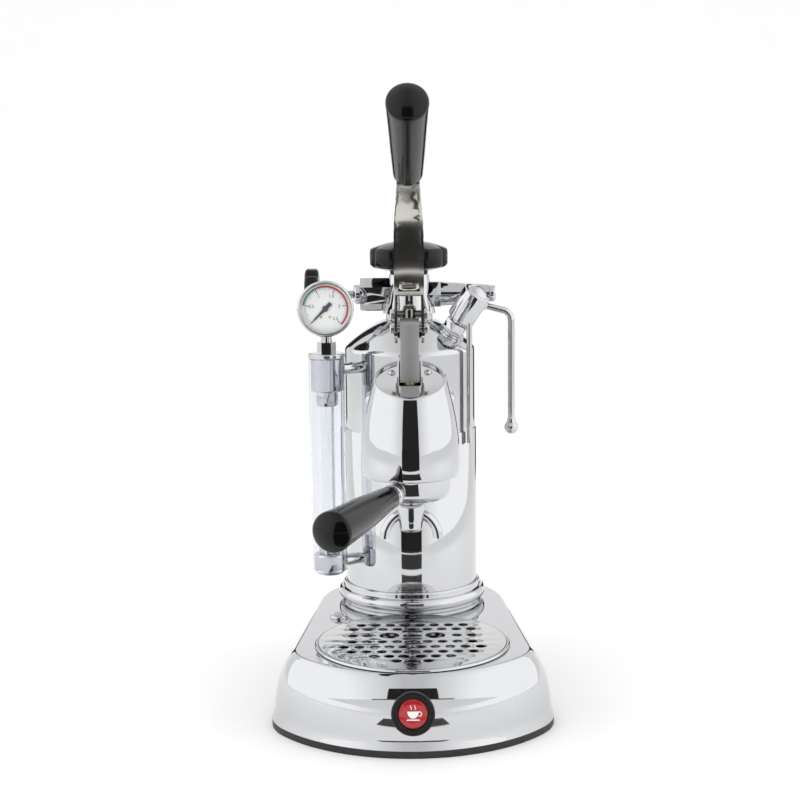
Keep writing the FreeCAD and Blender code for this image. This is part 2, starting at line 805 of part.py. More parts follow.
keep(turned("BoilerNeck", [
    (d.fillerBore, d.domeHeight), (d.neckFoot - 2.2, d.domeHeight), (d.neckFoot - 2.2, neck_bottom + 1),
    (d.neckFoot, neck_bottom + 1.8), (d.neckTop, d.neckHeight),
    (d.fillerBore, d.neckHeight),
], (0, boiler_y, 0)), "boiler_neck")
neck_filled = cone(d.neckFoot, d.neckTop, d.neckHeight - neck_bottom - 1.8, (0, boiler_y, neck_bottom + 1.8))

gasket_low = d.neckHeight + d.apart
cap_low = gasket_low + d.gasketThick + d.apart
plug_radius = d.fillerBore - d.apart
keep(turned("CapGasket", [
    (plug_radius + d.apart, gasket_low), (d.neckTop - 0.4, gasket_low),
    (d.neckTop - 0.4, gasket_low + d.gasketThick), (plug_radius + d.apart, gasket_low + d.gasketThick),
], (0, boiler_y, 0)), "cap_gasket")
keep(turned("CapPlug", [
    (0, d.neckHeight - 12), (plug_radius - 1, d.neckHeight - 12), (plug_radius, d.neckHeight - 11),
    (plug_radius, cap_low), (0, cap_low),
], (0, boiler_y, 0)), "cap_plug")
cap_skin = turned("CapKnob", [
    (0, cap_low), (d.capRadius - 12.4, cap_low), (d.capRadius - 10, cap_low + 0.8),
    (d.capRadius - 2, cap_low + 2.6), (d.capRadius, cap_low + 4.6), (d.capRadius, d.capHeight - 7),
    (d.capRadius - 1.2, d.capHeight - 5.6, dome(d.capRadius - 1.2, 5.6)), (0, d.capHeight),
], (0, boiler_y, 0))
CAP_LOBES = 8
LOBE_RADIUS = 9
scallops = []
for lobe in range(CAP_LOBES):
    turn = 2 * math.pi * (lobe + 0.5) / CAP_LOBES
    reach = d.capRadius + LOBE_RADIUS - 2.4
    scallops.append(cylinder(LOBE_RADIUS, 40, (
        reach * math.cos(turn), boiler_y + reach * math.sin(turn), cap_low - 2)))
keep(cut(cap_skin, *scallops), "cap_knob")


# ---------------------------------------------------------------- steam valve and wand

valve_bore = d.spindleRadius + d.running
valve_z = d.valveHeight
valve_block = cut(
    hexagon(d.valveFlats, d.valveReach - 8, (-8, boiler_y, valve_z), WEST, 90),
    neck_filled,
    cylinder(valve_bore, 20, (-22, boiler_y, valve_z), WEST, 90),
)
keep(valve_block, "valve_body")
gland_length = 5
keep(turned("GlandNut", [
    (valve_bore, 0), (7.5, 0), (7.5, gland_length), (valve_bore, gland_length),
], (-d.valveReach, boiler_y, valve_z), WEST, 90), "gland_nut")
keep(turned("ValveSpindle", [
    (0, 0), (d.spindleRadius - 1.5, 0), (d.spindleRadius, 2.5),
    (d.spindleRadius, d.knobReach - 23 - d.knobWidth), (0, d.knobReach - 23 - d.knobWidth),
], (-23, boiler_y, valve_z), WEST, 90), "valve_spindle")
knob_hub = 9
knob_skin = turned("SteamKnob", [
    (0, 0), (d.knobRadius - 2, 0), (d.knobRadius, 1.6), (d.knobRadius, d.knobWidth - 2),
    (d.knobRadius - 2, d.knobWidth - 0.6), (8, d.knobWidth), (7, d.knobWidth + knob_hub),
    (d.spindleRadius, d.knobWidth + knob_hub), (d.spindleRadius, d.knobWidth), (0, d.knobWidth),
], (-d.knobReach, boiler_y, valve_z), Y_AXIS, 90)
KNOB_LOBES = 6
knob_scallops = []
for lobe in range(KNOB_LOBES):
    turn = 2 * math.pi * (lobe + 0.5) / KNOB_LOBES
    reach = d.knobRadius + 5.6
    knob_scallops.append(cylinder(8, 30, (
        -d.knobReach - 5, boiler_y + reach * math.sin(turn), valve_z + reach * math.cos(turn)), Y_AXIS, 90))
keep(cut(knob_skin, *knob_scallops), "steam_knob")

nut_end = 23.8
end_nut = 5
cone_end = d.armReach - end_nut
ball_x = cone_end - 4.3
ball_z = valve_z - d.armRadius + 0.4
BALL = 4.2
SPIGOT = 2
ball_at = (ball_x, boiler_y, ball_z)


def ball(radius, at):
    sphere = doc.addObject("Part::Sphere", "Ball")
    sphere.setExpression("Radius", size_of(radius).text)
    return put(sphere, at)


keep(cut(
    joined(
        hexagon(d.armRadius * 2, nut_end - 8, (8, boiler_y, valve_z), Y_AXIS, 90),
        cone(d.armRadius, d.armEndRadius, cone_end - nut_end, (nut_end, boiler_y, valve_z), Y_AXIS, 90),
    ),
    neck_filled,
    ball(BALL + d.running, ball_at),
    cylinder(SPIGOT + d.running, 8, ball_at),
), "steam_arm")
keep(turned("ArmEndNut", [
    (0, 0), (d.armEndRadius - 1.2, 0), (d.armEndRadius - 0.4, 0.8), (d.armEndRadius - 0.4, end_nut - 1.2),
    (d.armEndRadius - 1.6, end_nut), (0, end_nut),
], (cone_end, boiler_y, valve_z), Y_AXIS, 90), "arm_end_nut")


def pipe(points, bend_radius, radius):
    """A round rod along straight runs joined by tangent arcs. Its volume is checked."""
    edges = []
    here = points[0]
    length = 0
    for before, corner, after in zip(points, points[1:], points[2:]):
        coming = (corner - before).normalize()
        going = (after - corner).normalize()
        turn = coming.getAngle(going)
        setback = bend_radius * math.tan(turn / 2)
        first = corner - coming * setback
        last = corner + going * setback
        inward = (going - coming).normalize()
        middle = corner + inward * (bend_radius / math.cos(turn / 2) - bend_radius)
        edges.append(Part.LineSegment(here, first).toShape())
        edges.append(Part.Arc(first, middle, last).toShape())
        length += (first - here).Length + bend_radius * turn
        here = last
    edges.append(Part.LineSegment(here, points[-1]).toShape())
    length += (points[-1] - here).Length
    ring = Part.Wire(Part.makeCircle(radius, points[0], points[1] - points[0]))
    solid = Part.Wire(edges).makePipeShell([ring], True, True)
    if abs(solid.Volume / (math.pi * radius ** 2 * length) - 1) > 0.02:
        raise RuntimeError("a pipe's volume is not its section times its length")
    return solid


def make_wand():
    """The steam wand: a ball and spigot in the arm, a run to the right, a bend, and a drop to a ball tip."""
    socket = Vector(ball_x.value, boiler_y.value, ball_z.value)
    tip = Vector(d.wandReach.value, boiler_y.value, d.wandBottom.value)
    corner = Vector(tip.x, tip.y, socket.z - 0.27 * (tip.x - socket.x))
    tube = pipe([socket, corner, tip], 8, d.wandRadius.value)
    pieces = [
        Part.makeSphere(BALL, socket),
        Part.makeCylinder(SPIGOT, 7, socket),
        Part.makeSphere(d.wandBall.value, tip),
        Part.makeCone(3.6, 3, 3.4, tip + Vector(0, 0, d.wandBall.value - 1.6)),
    ]
    scripted(tube.fuse(pieces), "steam_wand")


make_wand()


# ---------------------------------------------------------------- safety valve

hood_low = 14.5
nut_neck = 6
hood_high = hood_low + d.hoodLength
keep(joined(
    turned("ReliefNut", [
        (0, -3), (RELIEF_SHANK, -3), (RELIEF_SHANK, 1), (9.5, 1), (9.5, 2.8), (nut_neck, 2.8),
        (nut_neck, hood_low + 3), (0, hood_low + 3),
    ], along_relief(0), relief_axis, d.reliefTilt),
    hexagon(16.6, 9, along_relief(2.8), relief_axis, d.reliefTilt),
), "relief_nut")
vent_y = boiler_y - d.ventForward
vent_top = d.domeHeight + 0.5
vent_at = (d.ventRight, vent_y, d.ventBottom)
hood = turned("ReliefHood", [
    (nut_neck, hood_low), (d.hoodRadius - 0.8, hood_low), (d.hoodRadius, hood_low + 0.8),
    (d.hoodRadius, hood_high - 0.8), (d.hoodRadius - 0.8, hood_high), (8, hood_high, dome(8, 4)),
    (0, hood_high + 4), (0, hood_low + 3), (nut_neck, hood_low + 3),
], along_relief(0), relief_axis, d.reliefTilt)
keep(cut(hood, cylinder(d.ventRadius, vent_top - d.ventBottom, vent_at)), "relief_hood")
keep(turned("VentPipe", [
    (d.ventRadius - 0.7, 0), (d.ventRadius, 0), (d.ventRadius, vent_top - d.ventBottom),
    (d.ventRadius - 0.7, vent_top - d.ventBottom),
], vent_at), "vent_pipe")


# ---------------------------------------------------------------- sight glass and gauge

sight_at = (glass_x, glass_y, 0)
stub_start = upper_radius - 3
stub_length = sight_distance - stub_start
low_fitting_top = d.glassBottom + d.bottomFitting
high_fitting_low = d.glassTop - d.topFitting
guard_bore = d.guardRadius - d.guardWall
keep(joined(
    turned("GlassBottomFitting", [
        (0, d.glassBottom), (d.fittingRadius - 2.5, d.glassBottom), (d.fittingRadius, d.glassBottom + 2.5),
        (d.fittingRadius, low_fitting_top - 0.8), (d.fittingRadius - 0.8, low_fitting_top),
        (0, low_fitting_top),
    ], sight_at),
    sight_port(PORT_RADIUS, stub_start, low_port, stub_length),
), "glass_bottom_fitting")
keep(joined(
    turned("GlassTopFitting", [
        (0, high_fitting_low), (d.fittingRadius - 0.8, high_fitting_low),
        (d.fittingRadius, high_fitting_low + 0.8), (d.fittingRadius, d.glassTop - 3.8),
        (d.fittingRim, d.glassTop - 3.4), (d.fittingRim, d.glassTop - 0.6), (d.fittingRim - 0.8, d.glassTop),
        (0, d.glassTop),
    ], sight_at),
    sight_port(PORT_RADIUS, stub_start, high_port, stub_length),
), "glass_top_fitting")
packing_nuts = []
for low in (low_fitting_top, high_fitting_low - d.nutHeight):
    packing_nuts.append(cut(
        hexagon(d.nutFlats, d.nutHeight, (glass_x, glass_y, low)),
        cylinder(d.tubeRadius, d.nutHeight, (glass_x, glass_y, low)),
    ))
keep(together(*packing_nuts), "glass_nuts")
keep(turned("GlassTube", [
    (d.tubeRadius - d.tubeWall, low_fitting_top), (d.tubeRadius, low_fitting_top),
    (d.tubeRadius, high_fitting_low), (d.tubeRadius - d.tubeWall, high_fitting_low),
], sight_at), "glass_tube")
guard = turned("GlassGuard", [
    (guard_bore, d.glassBottom + 3.4), (d.guardRadius, d.glassBottom + 3.4),
    (d.guardRadius, d.glassTop - 3.8 - d.apart), (guard_bore, d.glassTop - 3.8 - d.apart),
], sight_at)
keep(cut(
    guard,
    sight_port(PORT_RADIUS + d.seat, stub_start, low_port, stub_length),
    sight_port(PORT_RADIUS + d.seat, stub_start, high_port, stub_length),
), "glass_guard")

# The gauge's local +Z points to the front; its back lies at the case's depth behind the dial's face.
gauge_z = d.gaugeHeight
face = d.gaugeDepth - 0.5
gauge_at = (glass_x, d.gaugeFace + face, gauge_z)
case_radius = d.gaugeRadius - 1
plate_radius = d.dialRadius + 0.8
lens_low = face + 1.7
keep(turned("GaugeCase", [
    (0, 0), (case_radius - 3, 0), (case_radius, 3), (case_radius, face - 1), (d.dialRadius - 0.3, face - 1),
    (d.dialRadius - 0.3, 2), (0, 2),
], gauge_at, X_AXIS, 90), "gauge_case")
keep(turned("GaugeBezel", [
    (plate_radius, face - 1), (case_radius, face - 1), (d.gaugeRadius, face - 0.4),
    (d.gaugeRadius, lens_low + 0.6), (d.gaugeRadius - 1.2, lens_low + 2), (d.dialRadius + 0.5, lens_low + 2),
    (d.dialRadius, lens_low + 1), (plate_radius, lens_low + 1),
], gauge_at, X_AXIS, 90), "gauge_bezel")
keep(turned("GaugeLens", [
    (0, lens_low), (plate_radius, lens_low), (plate_radius, lens_low + 1), (0, lens_low + 1),
], gauge_at, X_AXIS, 90), "gauge_lens")
needle_pin = 0.8
keep(turned("GaugeDial", [
    (needle_pin + d.running, face - 1), (plate_radius, face - 1), (plate_radius, face),
    (needle_pin + d.running, face),
], gauge_at, X_AXIS, 90), "gauge_dial")
NEEDLE_ANGLE = 135
needle_lift = d.gaugeFace - d.apart - 0.3
needle_plate = doc.addObject("PartDesign::Body", "GaugeNeedle")
needle_pad = needle_plate.newObject("PartDesign::Pad", "NeedlePad")
needle_pad.Profile = sketch_on(needle_plate, "XZ_Plane", [
    (-5.6, -1.5), (1.5, -1.3), (d.dialRadius - 4.5, -0.3), (d.dialRadius - 4.5, 0.3), (1.5, 1.3), (-5.6, 1.5),
])
needle_pad.Length = 0.6
needle_pad.Midplane = True
put(needle_plate, (glass_x, needle_lift, gauge_z), Y_AXIS, NEEDLE_ANGLE)
keep(joined(needle_plate, cylinder(2.2, 0.7, (glass_x, needle_lift + 0.3, gauge_z), X_AXIS, 90),
            cylinder(needle_pin, 3, (glass_x, needle_lift + 3, gauge_z), X_AXIS, 90)), "gauge_needle")
stem = cut(joined(
    hexagon(12, 8, (glass_x, glass_y, d.glassTop)),
    cylinder(4, gauge_z - d.glassTop, (glass_x, glass_y, d.glassTop)),
), cylinder(case_radius, 60, (glass_x, glass_y + 30, gauge_z), X_AXIS, 90))
keep(stem, "gauge_stem")


# ---------------------------------------------------------------- group

gasket_top = d.groupBottom
LEDGE_INNER = 28.75
ring_low = d.bellBottom + 0.2
lug_low = d.cupTop - 2
ring_step = d.cupTop + 0.4
ring_radius = d.lugRadius + 0.8
bore_gasket = 27.5
lid_low = d.groupTop - d.groupLid
GUIDE = 8.5


def bell_line(inset):
    """The bell's outer line drawn in by an inset, from its rim up, as (radius, height) points."""
    return [
        (33.7 - size_of(inset), d.bellBottom + 0), (34.9 - size_of(inset), d.bellBottom + 5.7),
        (27.7 - size_of(inset), d.bellBottom + 58.7), (19.6 - size_of(inset), d.bellBottom + 88.7),
    ]


def bell_filled(name, inset):
    """The solid inside of the bell."""
    rim, waist, shoulder, top = bell_line(inset)
    return turned(name, [
        (0, rim[1]), (*rim, 16), (*waist, 190), shoulder, top, (0, top[1]),
    ], (0, group_y, 0))


barrel = turned("GroupBarrel", [
    (d.groupBore, gasket_top), (bore_gasket, gasket_top), (bore_gasket, ring_step),
    (d.lugRadius + d.apart, ring_step), (d.lugRadius + d.apart, lug_low - d.apart),
    (LEDGE_INNER, lug_low - d.apart), (LEDGE_INNER, ring_low), (ring_radius, ring_low),
    (ring_radius, gasket_top + 3), (d.groupRadius, gasket_top + 3), (d.groupRadius, d.groupTop - 2),
    (d.groupRadius - 2, d.groupTop), (GUIDE, d.groupTop), (GUIDE, d.groupTop + 2.5),
    (d.rodRadius + d.running, d.groupTop + 2.5), (d.rodRadius + d.running, lid_low), (d.groupBore, lid_low),
], (0, group_y, 0))
seat_ring = common(
    bell_filled("BellSeat", d.bellWall),
    cut(cylinder(40, 3, (0, group_y, gasket_top)), cylinder(d.groupRadius - 1, 3, (0, group_y, gasket_top))),
)
neck_tube = cylinder(d.inletRadius, d.flangeFront - group_y - 25, (0, group_y + 25, d.inletHeight), X_AXIS, -90)
post_height = d.fulcrumHeight - d.groupTop + 1
eye_width = d.linkWidth - 0.4
group_solid = joined(
    barrel, seat_ring, neck_tube,
    flange_plate("GroupFlange", d.flangeFront, d.flangeThick),
    cylinder(d.postRadius, post_height, (0, fulcrum_y, d.groupTop - 1)),
    cylinder(d.eyeRadius, eye_width, (-eye_width / 2, fulcrum_y, d.fulcrumHeight), Y_AXIS, 90),
)
GAP_SECTOR = 94
lug_gaps = []
for start in (-49, 131):
    lug_gaps.append(cylinder(
        d.lugRadius + d.apart, ring_step - ring_low, (0, group_y, ring_low), Z_AXIS, start, GAP_SECTOR))
flange_holes = []
for side in (-1, 1):
    flange_holes.append(cylinder(d.boltRadius, 20, (
        d.flangeHalf * side, d.flangeFront - 6, d.inletHeight), X_AXIS, -90))
keep(cut(
    group_solid,
    cylinder(d.fulcrumPin + d.running, 40, (-20, fulcrum_y, d.fulcrumHeight), Y_AXIS, 90),
    cylinder(inlet_bore, 60, (0, group_y + 20, d.inletHeight), X_AXIS, -90),
    *lug_gaps, *flange_holes,
), "group_body")
bolts = []
for side in (-1, 1):
    bolts.append(turned("GroupBolt", [
        (0, -4.4), (2.6, -4.4), (4.8, -2.6), (5.2, 0), (d.boltRadius, 0), (d.boltRadius, 17), (0, 17),
    ], (d.flangeHalf * side, d.flangeFront, d.inletHeight), X_AXIS, -90))
keep(together(*bolts), "group_bolts")
screen_radius = 20.5
keep(turned("GroupGasket", [
    (screen_radius, d.groupBottom - 3.5), (bore_gasket, d.groupBottom - 3.5), (bore_gasket, d.groupBottom),
    (screen_radius, d.groupBottom),
], (0, group_y, 0)), "group_gasket")
keep(turned("ShowerScreen", [
    (0, d.groupBottom - 3), (screen_radius - 1.4, d.groupBottom - 3), (screen_radius, d.groupBottom - 1.6),
    (screen_radius, d.groupBottom), (screen_radius - 1, d.groupBottom),
    (screen_radius - 1, d.groupBottom - 1.4), (screen_radius - 1.8, d.groupBottom - 2.1),
    (0, d.groupBottom - 2.1),
], (0, group_y, 0)), "shower_screen")

# The bell's top is cut on a slope that rises to the back.
outside = bell_line(0)
inside = bell_line(d.bellWall)
bell_skin = turned("Bell", [
    inside[0], (*outside[0], 16), (*outside[1], 190), outside[2], outside[3], inside[3], (*inside[2], -190),
    (*inside[1], -16),
], (0, group_y, 0))
slope_top = cylinder(60, 60, (0, group_y, d.coverHeight), X_AXIS, d.coverTilt)
neck_play = d.inletRadius + d.apart
keep(cut(
    bell_skin, slope_top,
    block(neck_play * 2, 30, d.inletHeight - 160, (0, group_y + 30, 160)),
    cylinder(neck_play, 30, (0, group_y + 15, d.inletHeight), X_AXIS, -90),
    block((d.postRadius + 0.6) * 2, 30, 40, (0, group_y + 25, d.coverHeight - 7)),
), "bell")


def sloping_block(left, width, lift, height):
    """A box lying along the bell's sloping top, starting a height above it."""
    reach = 60
    lift = size_of(lift)
    box = doc.addObject("Part::Box", "SlopingBlock")
    box.setExpression("Length", size_of(width).text)
    box.Width = 2 * reach
    box.setExpression("Height", size_of(height).text)
    up = cosine(d.coverTilt)
    along = sine(d.coverTilt)
    return put(box, (left, group_y - lift * along - reach * up, d.coverHeight + lift * up - reach * along),
               X_AXIS, d.coverTilt)


half_slot = d.slotWidth / 2
lip_edge = half_slot + d.lipWidth
link_front = group_y - 9
screw_x = 12.8
screw_back = 8.5
cover_holes = []
cover_screws = []
for side in (-1, 1):
    lift = -d.coverDrop
    rise = screw_back * cosine(d.coverTilt)
    place = (
        screw_x * side,
        group_y - lift * sine(d.coverTilt) + rise,
        d.coverHeight + lift * cosine(d.coverTilt) + screw_back * sine(d.coverTilt),
    )
    cover_screws.append(turned("CoverScrew", [
        (0, -5), (1.5, -5), (1.5, 0), (2.7, 0), (2.4, 1.1), (1.4, 1.7), (0, 1.9),
    ], place, X_AXIS, d.coverTilt))
    under = (place[0], place[1] + 6 * sine(d.coverTilt), place[2] - 6 * cosine(d.coverTilt))
    cover_holes.append(cylinder(1.5, 12, under, X_AXIS, d.coverTilt))
keep(cut(
    common(
        bell_filled("BellInside", d.bellWall),
        sloping_block(-40, 80, -(d.coverDrop + d.coverThick), d.coverThick + d.lipHeight),
    ),
    sloping_block(lip_edge, 40, -d.coverDrop, 9),
    sloping_block(-lip_edge - 40, 40, -d.coverDrop, 9),
    sloping_block(-half_slot, d.slotWidth, -d.coverDrop, 9),
    block(d.slotWidth, 60, 80, (0, link_front + 30, d.coverHeight - 30)),
    *cover_holes,
), "bell_cover")
keep(together(*cover_screws), "cover_screws")


# ---------------------------------------------------------------- piston and link

piston_radius = d.groupBore - 0.3
groove = piston_radius - 1.5
piston_top = d.pistonBottom + d.pistonThick
seal_lows = (d.pistonBottom + 1.6, d.pistonBottom + 6)
rod_top = d.linkFoot + 8
keep(turned("Piston", [
    (0, d.pistonBottom), (piston_radius - 0.7, d.pistonBottom), (piston_radius, d.pistonBottom + 0.7),
    (piston_radius, seal_lows[0]), (groove, seal_lows[0]), (groove, seal_lows[0] + d.sealHeight),
    (piston_radius, seal_lows[0] + d.sealHeight), (piston_radius, seal_lows[1]), (groove, seal_lows[1]),
    (groove, seal_lows[1] + d.sealHeight), (piston_radius, seal_lows[1] + d.sealHeight),
    (piston_radius, piston_top), (d.rodRadius, piston_top), (d.rodRadius, rod_top), (0, rod_top),
], (0, group_y, 0)), "piston")
seals = []
for low in seal_lows:
    seals.append(turned("PistonSeal", [
        (groove, low), (d.groupBore - d.running, low), (d.groupBore - d.running, low + d.sealHeight),
        (groove, low + d.sealHeight),
    ], (0, group_y, 0)))
keep(together(*seals), "piston_seals")

yoke_height = (d.rodPin + d.yokePlay) * 2
link_body = padded("LeverLink", [
    (-6.6, d.linkFoot), (6.6, d.linkFoot), (6.6, d.rodPinHeight - 16), (10.5, d.rodPinHeight - 9),
    (10.5, d.linkTop - 3), (7.5, d.linkTop), (-5, d.linkTop), (-7, d.linkTop - 2),
    (-7, d.rodPinHeight - 9), (-6.6, d.rodPinHeight - 16),
], d.linkWidth, "YZ_Plane", (0, group_y, 0))
keep(cut(
    link_body,
    cylinder(d.rodRadius, 8, (0, group_y, d.linkFoot)),
    block(30, d.yokeFront + d.yokeBack, yoke_height, (
        0, group_y + (d.yokeBack - d.yokeFront) / 2, d.rodPinHeight - yoke_height / 2)),
), "lever_link")


# ---------------------------------------------------------------- lever

pin_drop = d.rodPinHeight - d.fulcrumHeight
bend_front = -d.fulcrumBack - 10
BEND_LIFT = 16.6
side_shape = padded("LeverArm", [
    (-d.fulcrumBack - 9.5, pin_drop - 1.3, 9.5), (-d.fulcrumBack, pin_drop - 10.3),
    (3, -10.4, 12), (9.5, 1.6), (9, 12.6, 110), (-53.79, 105.6), (-61.81, 91.7, -d.leverBend),
    (bend_front, BEND_LIFT),
], 60, "YZ_Plane", (0, fulcrum_y, d.fulcrumHeight))


def front_shape(name, margin):
    """The lever arm's front outline, drawn in by a margin."""
    wide = d.leverWidth / 2 - margin
    narrow = d.neckingWidth / 2 - margin
    return padded(name, [
        (-wide, -30), (wide, -30), (wide, 56), (narrow, 96), (narrow, 120), (-narrow, 120), (-narrow, 96),
        (-wide, 56),
    ], 300, "XZ_Plane", (0, fulcrum_y, d.fulcrumHeight))


CHANNEL_DEPTH = 2.5
channel = common(
    cylinder(d.leverBend + CHANNEL_DEPTH, 60, (
        -30, fulcrum_y + bend_front - d.leverBend, d.fulcrumHeight + BEND_LIFT), Y_AXIS, 90),
    front_shape("ChannelFront", 2),
)
grip_at = (0, fulcrum_y - 57.83, d.fulcrumHeight + 98.67)
grip_angle = 90 - d.gripTilt
stud_depth = 12
stud_at = (
    0,
    grip_at[1] + stud_depth * cosine(d.gripTilt),
    grip_at[2] - stud_depth * sine(d.gripTilt),
)
rod_pin_at = (fulcrum_y - d.fulcrumBack, d.rodPinHeight)
keep(cut(
    common(side_shape, front_shape("LeverFront", 0)),
    channel,
    block(d.forkGap, 90, d.forkTop - 230, (0, fulcrum_y, 230)),
    cylinder(d.fulcrumPin, 60, (-30, fulcrum_y, d.fulcrumHeight), Y_AXIS, 90),
    cylinder(d.rodPin, 60, (-30, *rod_pin_at), Y_AXIS, 90),
    cylinder(d.studRadius, stud_depth + 6, stud_at, X_AXIS, grip_angle),
), "lever_arm")


def cross_pin(label, radius, head, y, z):
    """A headed pin across the fork."""
    half = d.leverWidth / 2
    end = half + 3.4
    keep(turned("CrossPin", [
        (0, -end), (head - 0.7, -end), (head, 0.7 - end), (head, -half), (radius, -half), (radius, half),
        (head, half), (head, end - 0.7), (head - 0.7, end), (0, end),
    ], (0, y, z), Y_AXIS, 90), label)


cross_pin("fulcrum_pin", d.fulcrumPin, d.pinHead, fulcrum_y, d.fulcrumHeight)
cross_pin("rod_pin", d.rodPin, d.pinHead - 0.4, *rod_pin_at)
keep(turned("LeverGrip", [
    (0, -stud_depth), (d.studRadius, -stud_depth), (d.studRadius, 0), (d.gripNear - 0.8, 0),
    (d.gripNear, 0.8), (d.gripFar - 1.3, d.gripLength * 0.6), (d.gripFar, d.gripLength - 7),
    (d.gripFar - 1, d.gripLength - 4, dome(d.gripFar - 1, 4)),
    (0, d.gripLength),
], grip_at, X_AXIS, grip_angle), "lever_grip")


# ---------------------------------------------------------------- portafilter

handle_slope = sine(d.handleDroop) / cosine(d.handleDroop)
handle_axis = (cosine(d.handleTurn), -sine(d.handleTurn), 0)
handle_angle = 90 + d.handleDroop


def along_handle(reach):
    """A point on the portafilter handle's axis, at a distance from the group's axis."""
    reach = size_of(reach)
    return (
        -(reach * sine(d.handleTurn)),
        group_y - reach * cosine(d.handleTurn),
        d.handleHeight - (reach - 36) * handle_slope,
    )


cup_bore = d.cupRadius - d.cupWall
cup_floor = d.cupBottom + d.cupFloor
LUG_SECTOR = 30
lugs = []
for start in (-LUG_SECTOR / 2, 180 - LUG_SECTOR / 2):
    lugs.append(cylinder(d.lugRadius, d.cupTop - lug_low, (0, group_y, lug_low), Z_AXIS, start, LUG_SECTOR))
cup_skin = turned("FilterCup", [
    (0, d.cupBottom), (d.cupRadius - 8, d.cupBottom, 8.4), (d.cupRadius, d.cupBottom + 7.6),
    (d.cupRadius, d.cupTop), (0, d.cupTop),
], (0, group_y, 0))
cup_hollow = turned("CupHollow", [
    (0, cup_floor), (cup_bore - 6, cup_floor, 6.4), (cup_bore, cup_floor + 5.6),
    (cup_bore, d.cupTop + 1), (0, d.cupTop + 1),
], (0, group_y, 0))
DRAIN = 3
keep(cut(
    joined(cup_skin, *lugs, cylinder(6.5, d.ferruleStart - 25, along_handle(25), handle_axis, handle_angle)),
    cup_hollow,
    cylinder(DRAIN, 10, (0, group_y, d.cupBottom - 2)),
    cylinder(d.studRadius, 5, along_handle(d.ferruleStart - 4), handle_axis, handle_angle),
), "filter_cup")
lip_low = d.cupTop + d.apart
keep(turned("FilterBasket", [
    (0, cup_floor + 1.4), (d.basketRadius - 2, cup_floor + 1.4), (d.basketRadius, cup_floor + 3.4),
    (d.basketRadius, lip_low), (27, lip_low), (27, lip_low + 0.8), (d.basketRadius - d.basketWall, lip_low + 0.8),
    (d.basketRadius - d.basketWall, cup_floor + 3.8), (d.basketRadius - 2.4, cup_floor + 2.2),
    (0, cup_floor + 2.2),
], (0, group_y, 0)), "filter_basket")
ferrule_length = d.ferruleEnd - d.ferruleStart
keep(turned("Ferrule", [
    (d.studRadius, 0), (7.2, 0), (8, 1), (8, 3.4), (d.handleNear - 0.6, 4.4),
    (d.handleNear - 0.6, ferrule_length), (d.studRadius, ferrule_length),
], along_handle(d.ferruleStart), handle_axis, handle_angle), "ferrule")
grip_length = d.handleEnd - d.ferruleEnd
keep(turned("FilterGrip", [
    (0, -ferrule_length - 4), (d.studRadius, -ferrule_length - 4), (d.studRadius, 0), (d.handleNear - 0.6, 0),
    (d.handleNear, 0.8), (d.handleFar - 2.2, grip_length * 0.45),
    (d.handleFar, grip_length - 7), (d.handleFar - 1, grip_length - 4, dome(d.handleFar - 1, 4)),
    (0, grip_length),
], along_handle(d.ferruleEnd), handle_axis, handle_angle), "filter_grip")


def arch(tube):
    """Half a ring over the cups, with both ends pointing down."""
    half_ring = doc.addObject("Part::Torus", "Arch")
    half_ring.setExpression("Radius1", d.spoutRadius.text)
    half_ring.setExpression("Radius2", size_of(tube).text)
    half_ring.Angle3 = 180
    return put(half_ring, (0, group_y, d.spoutTip), X_AXIS, 90)


boss_low = d.spoutTip + 5
boss_high = d.cupBottom - 4
keep(cut(
    joined(
        turned("SpoutBoss", [
            (0, boss_low), (d.bossRadius - 4.2, boss_low, 4), (d.bossRadius - 1, boss_low + 3.4),
            (d.bossRadius, boss_high - 2), (d.bossRadius - 1, boss_high), (6, boss_high), (6, d.cupBottom),
            (0, d.cupBottom),
        ], (0, group_y, 0)),
        arch(d.spoutTube),
    ),
    arch(d.spoutTube - 1.2),
    cylinder(DRAIN, 20, (0, group_y, d.spoutTip + d.spoutRadius - 1)),
), "double_spout")


# ---------------------------------------------------------------- checks and export

doc.recompute()
for item in doc.Objects:
    if "Invalid" in item.State or "Error" in item.State:
        raise RuntimeError(f"{item.Label} did not rebuild: {item.State}")
if len({node.Label for node in nodes}) != len(nodes):
    raise RuntimeError("two sub-parts share a name")
for node in nodes:
    if node.Shape.isNull() or not node.Shape.isValid() or not node.Shape.Solids:
        raise RuntimeError(f"{node.Label} has no valid solid")
for node in nodes:
    node.Shape.exportStep(f"parts/{node.Label}.step")
print(len(nodes), "sub-parts written")
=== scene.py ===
"""Looks of a chromed manual lever espresso machine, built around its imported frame. Sizes are in millimetres."""

import logging
import math
from dataclasses import dataclass, field
from enum import Enum

import bmesh
import bpy
from mathutils import Matrix, Vector


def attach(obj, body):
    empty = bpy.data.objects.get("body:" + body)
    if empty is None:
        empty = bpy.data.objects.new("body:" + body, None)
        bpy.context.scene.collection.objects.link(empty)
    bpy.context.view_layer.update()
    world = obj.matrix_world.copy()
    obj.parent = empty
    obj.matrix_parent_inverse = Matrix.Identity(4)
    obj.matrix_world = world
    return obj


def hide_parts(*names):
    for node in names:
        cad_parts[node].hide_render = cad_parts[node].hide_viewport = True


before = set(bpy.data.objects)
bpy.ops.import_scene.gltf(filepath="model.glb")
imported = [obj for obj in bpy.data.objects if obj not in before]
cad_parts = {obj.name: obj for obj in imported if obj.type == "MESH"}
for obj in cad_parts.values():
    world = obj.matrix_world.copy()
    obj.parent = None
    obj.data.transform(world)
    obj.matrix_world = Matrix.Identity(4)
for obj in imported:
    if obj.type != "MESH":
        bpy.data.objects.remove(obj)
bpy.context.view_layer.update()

MM = 0.001
log = logging.getLogger("espresso_machine")
logging.basicConfig(level=logging.INFO, format="%(message)s")

Point2 = tuple[float, float]
Point3 = tuple[float, float, float]


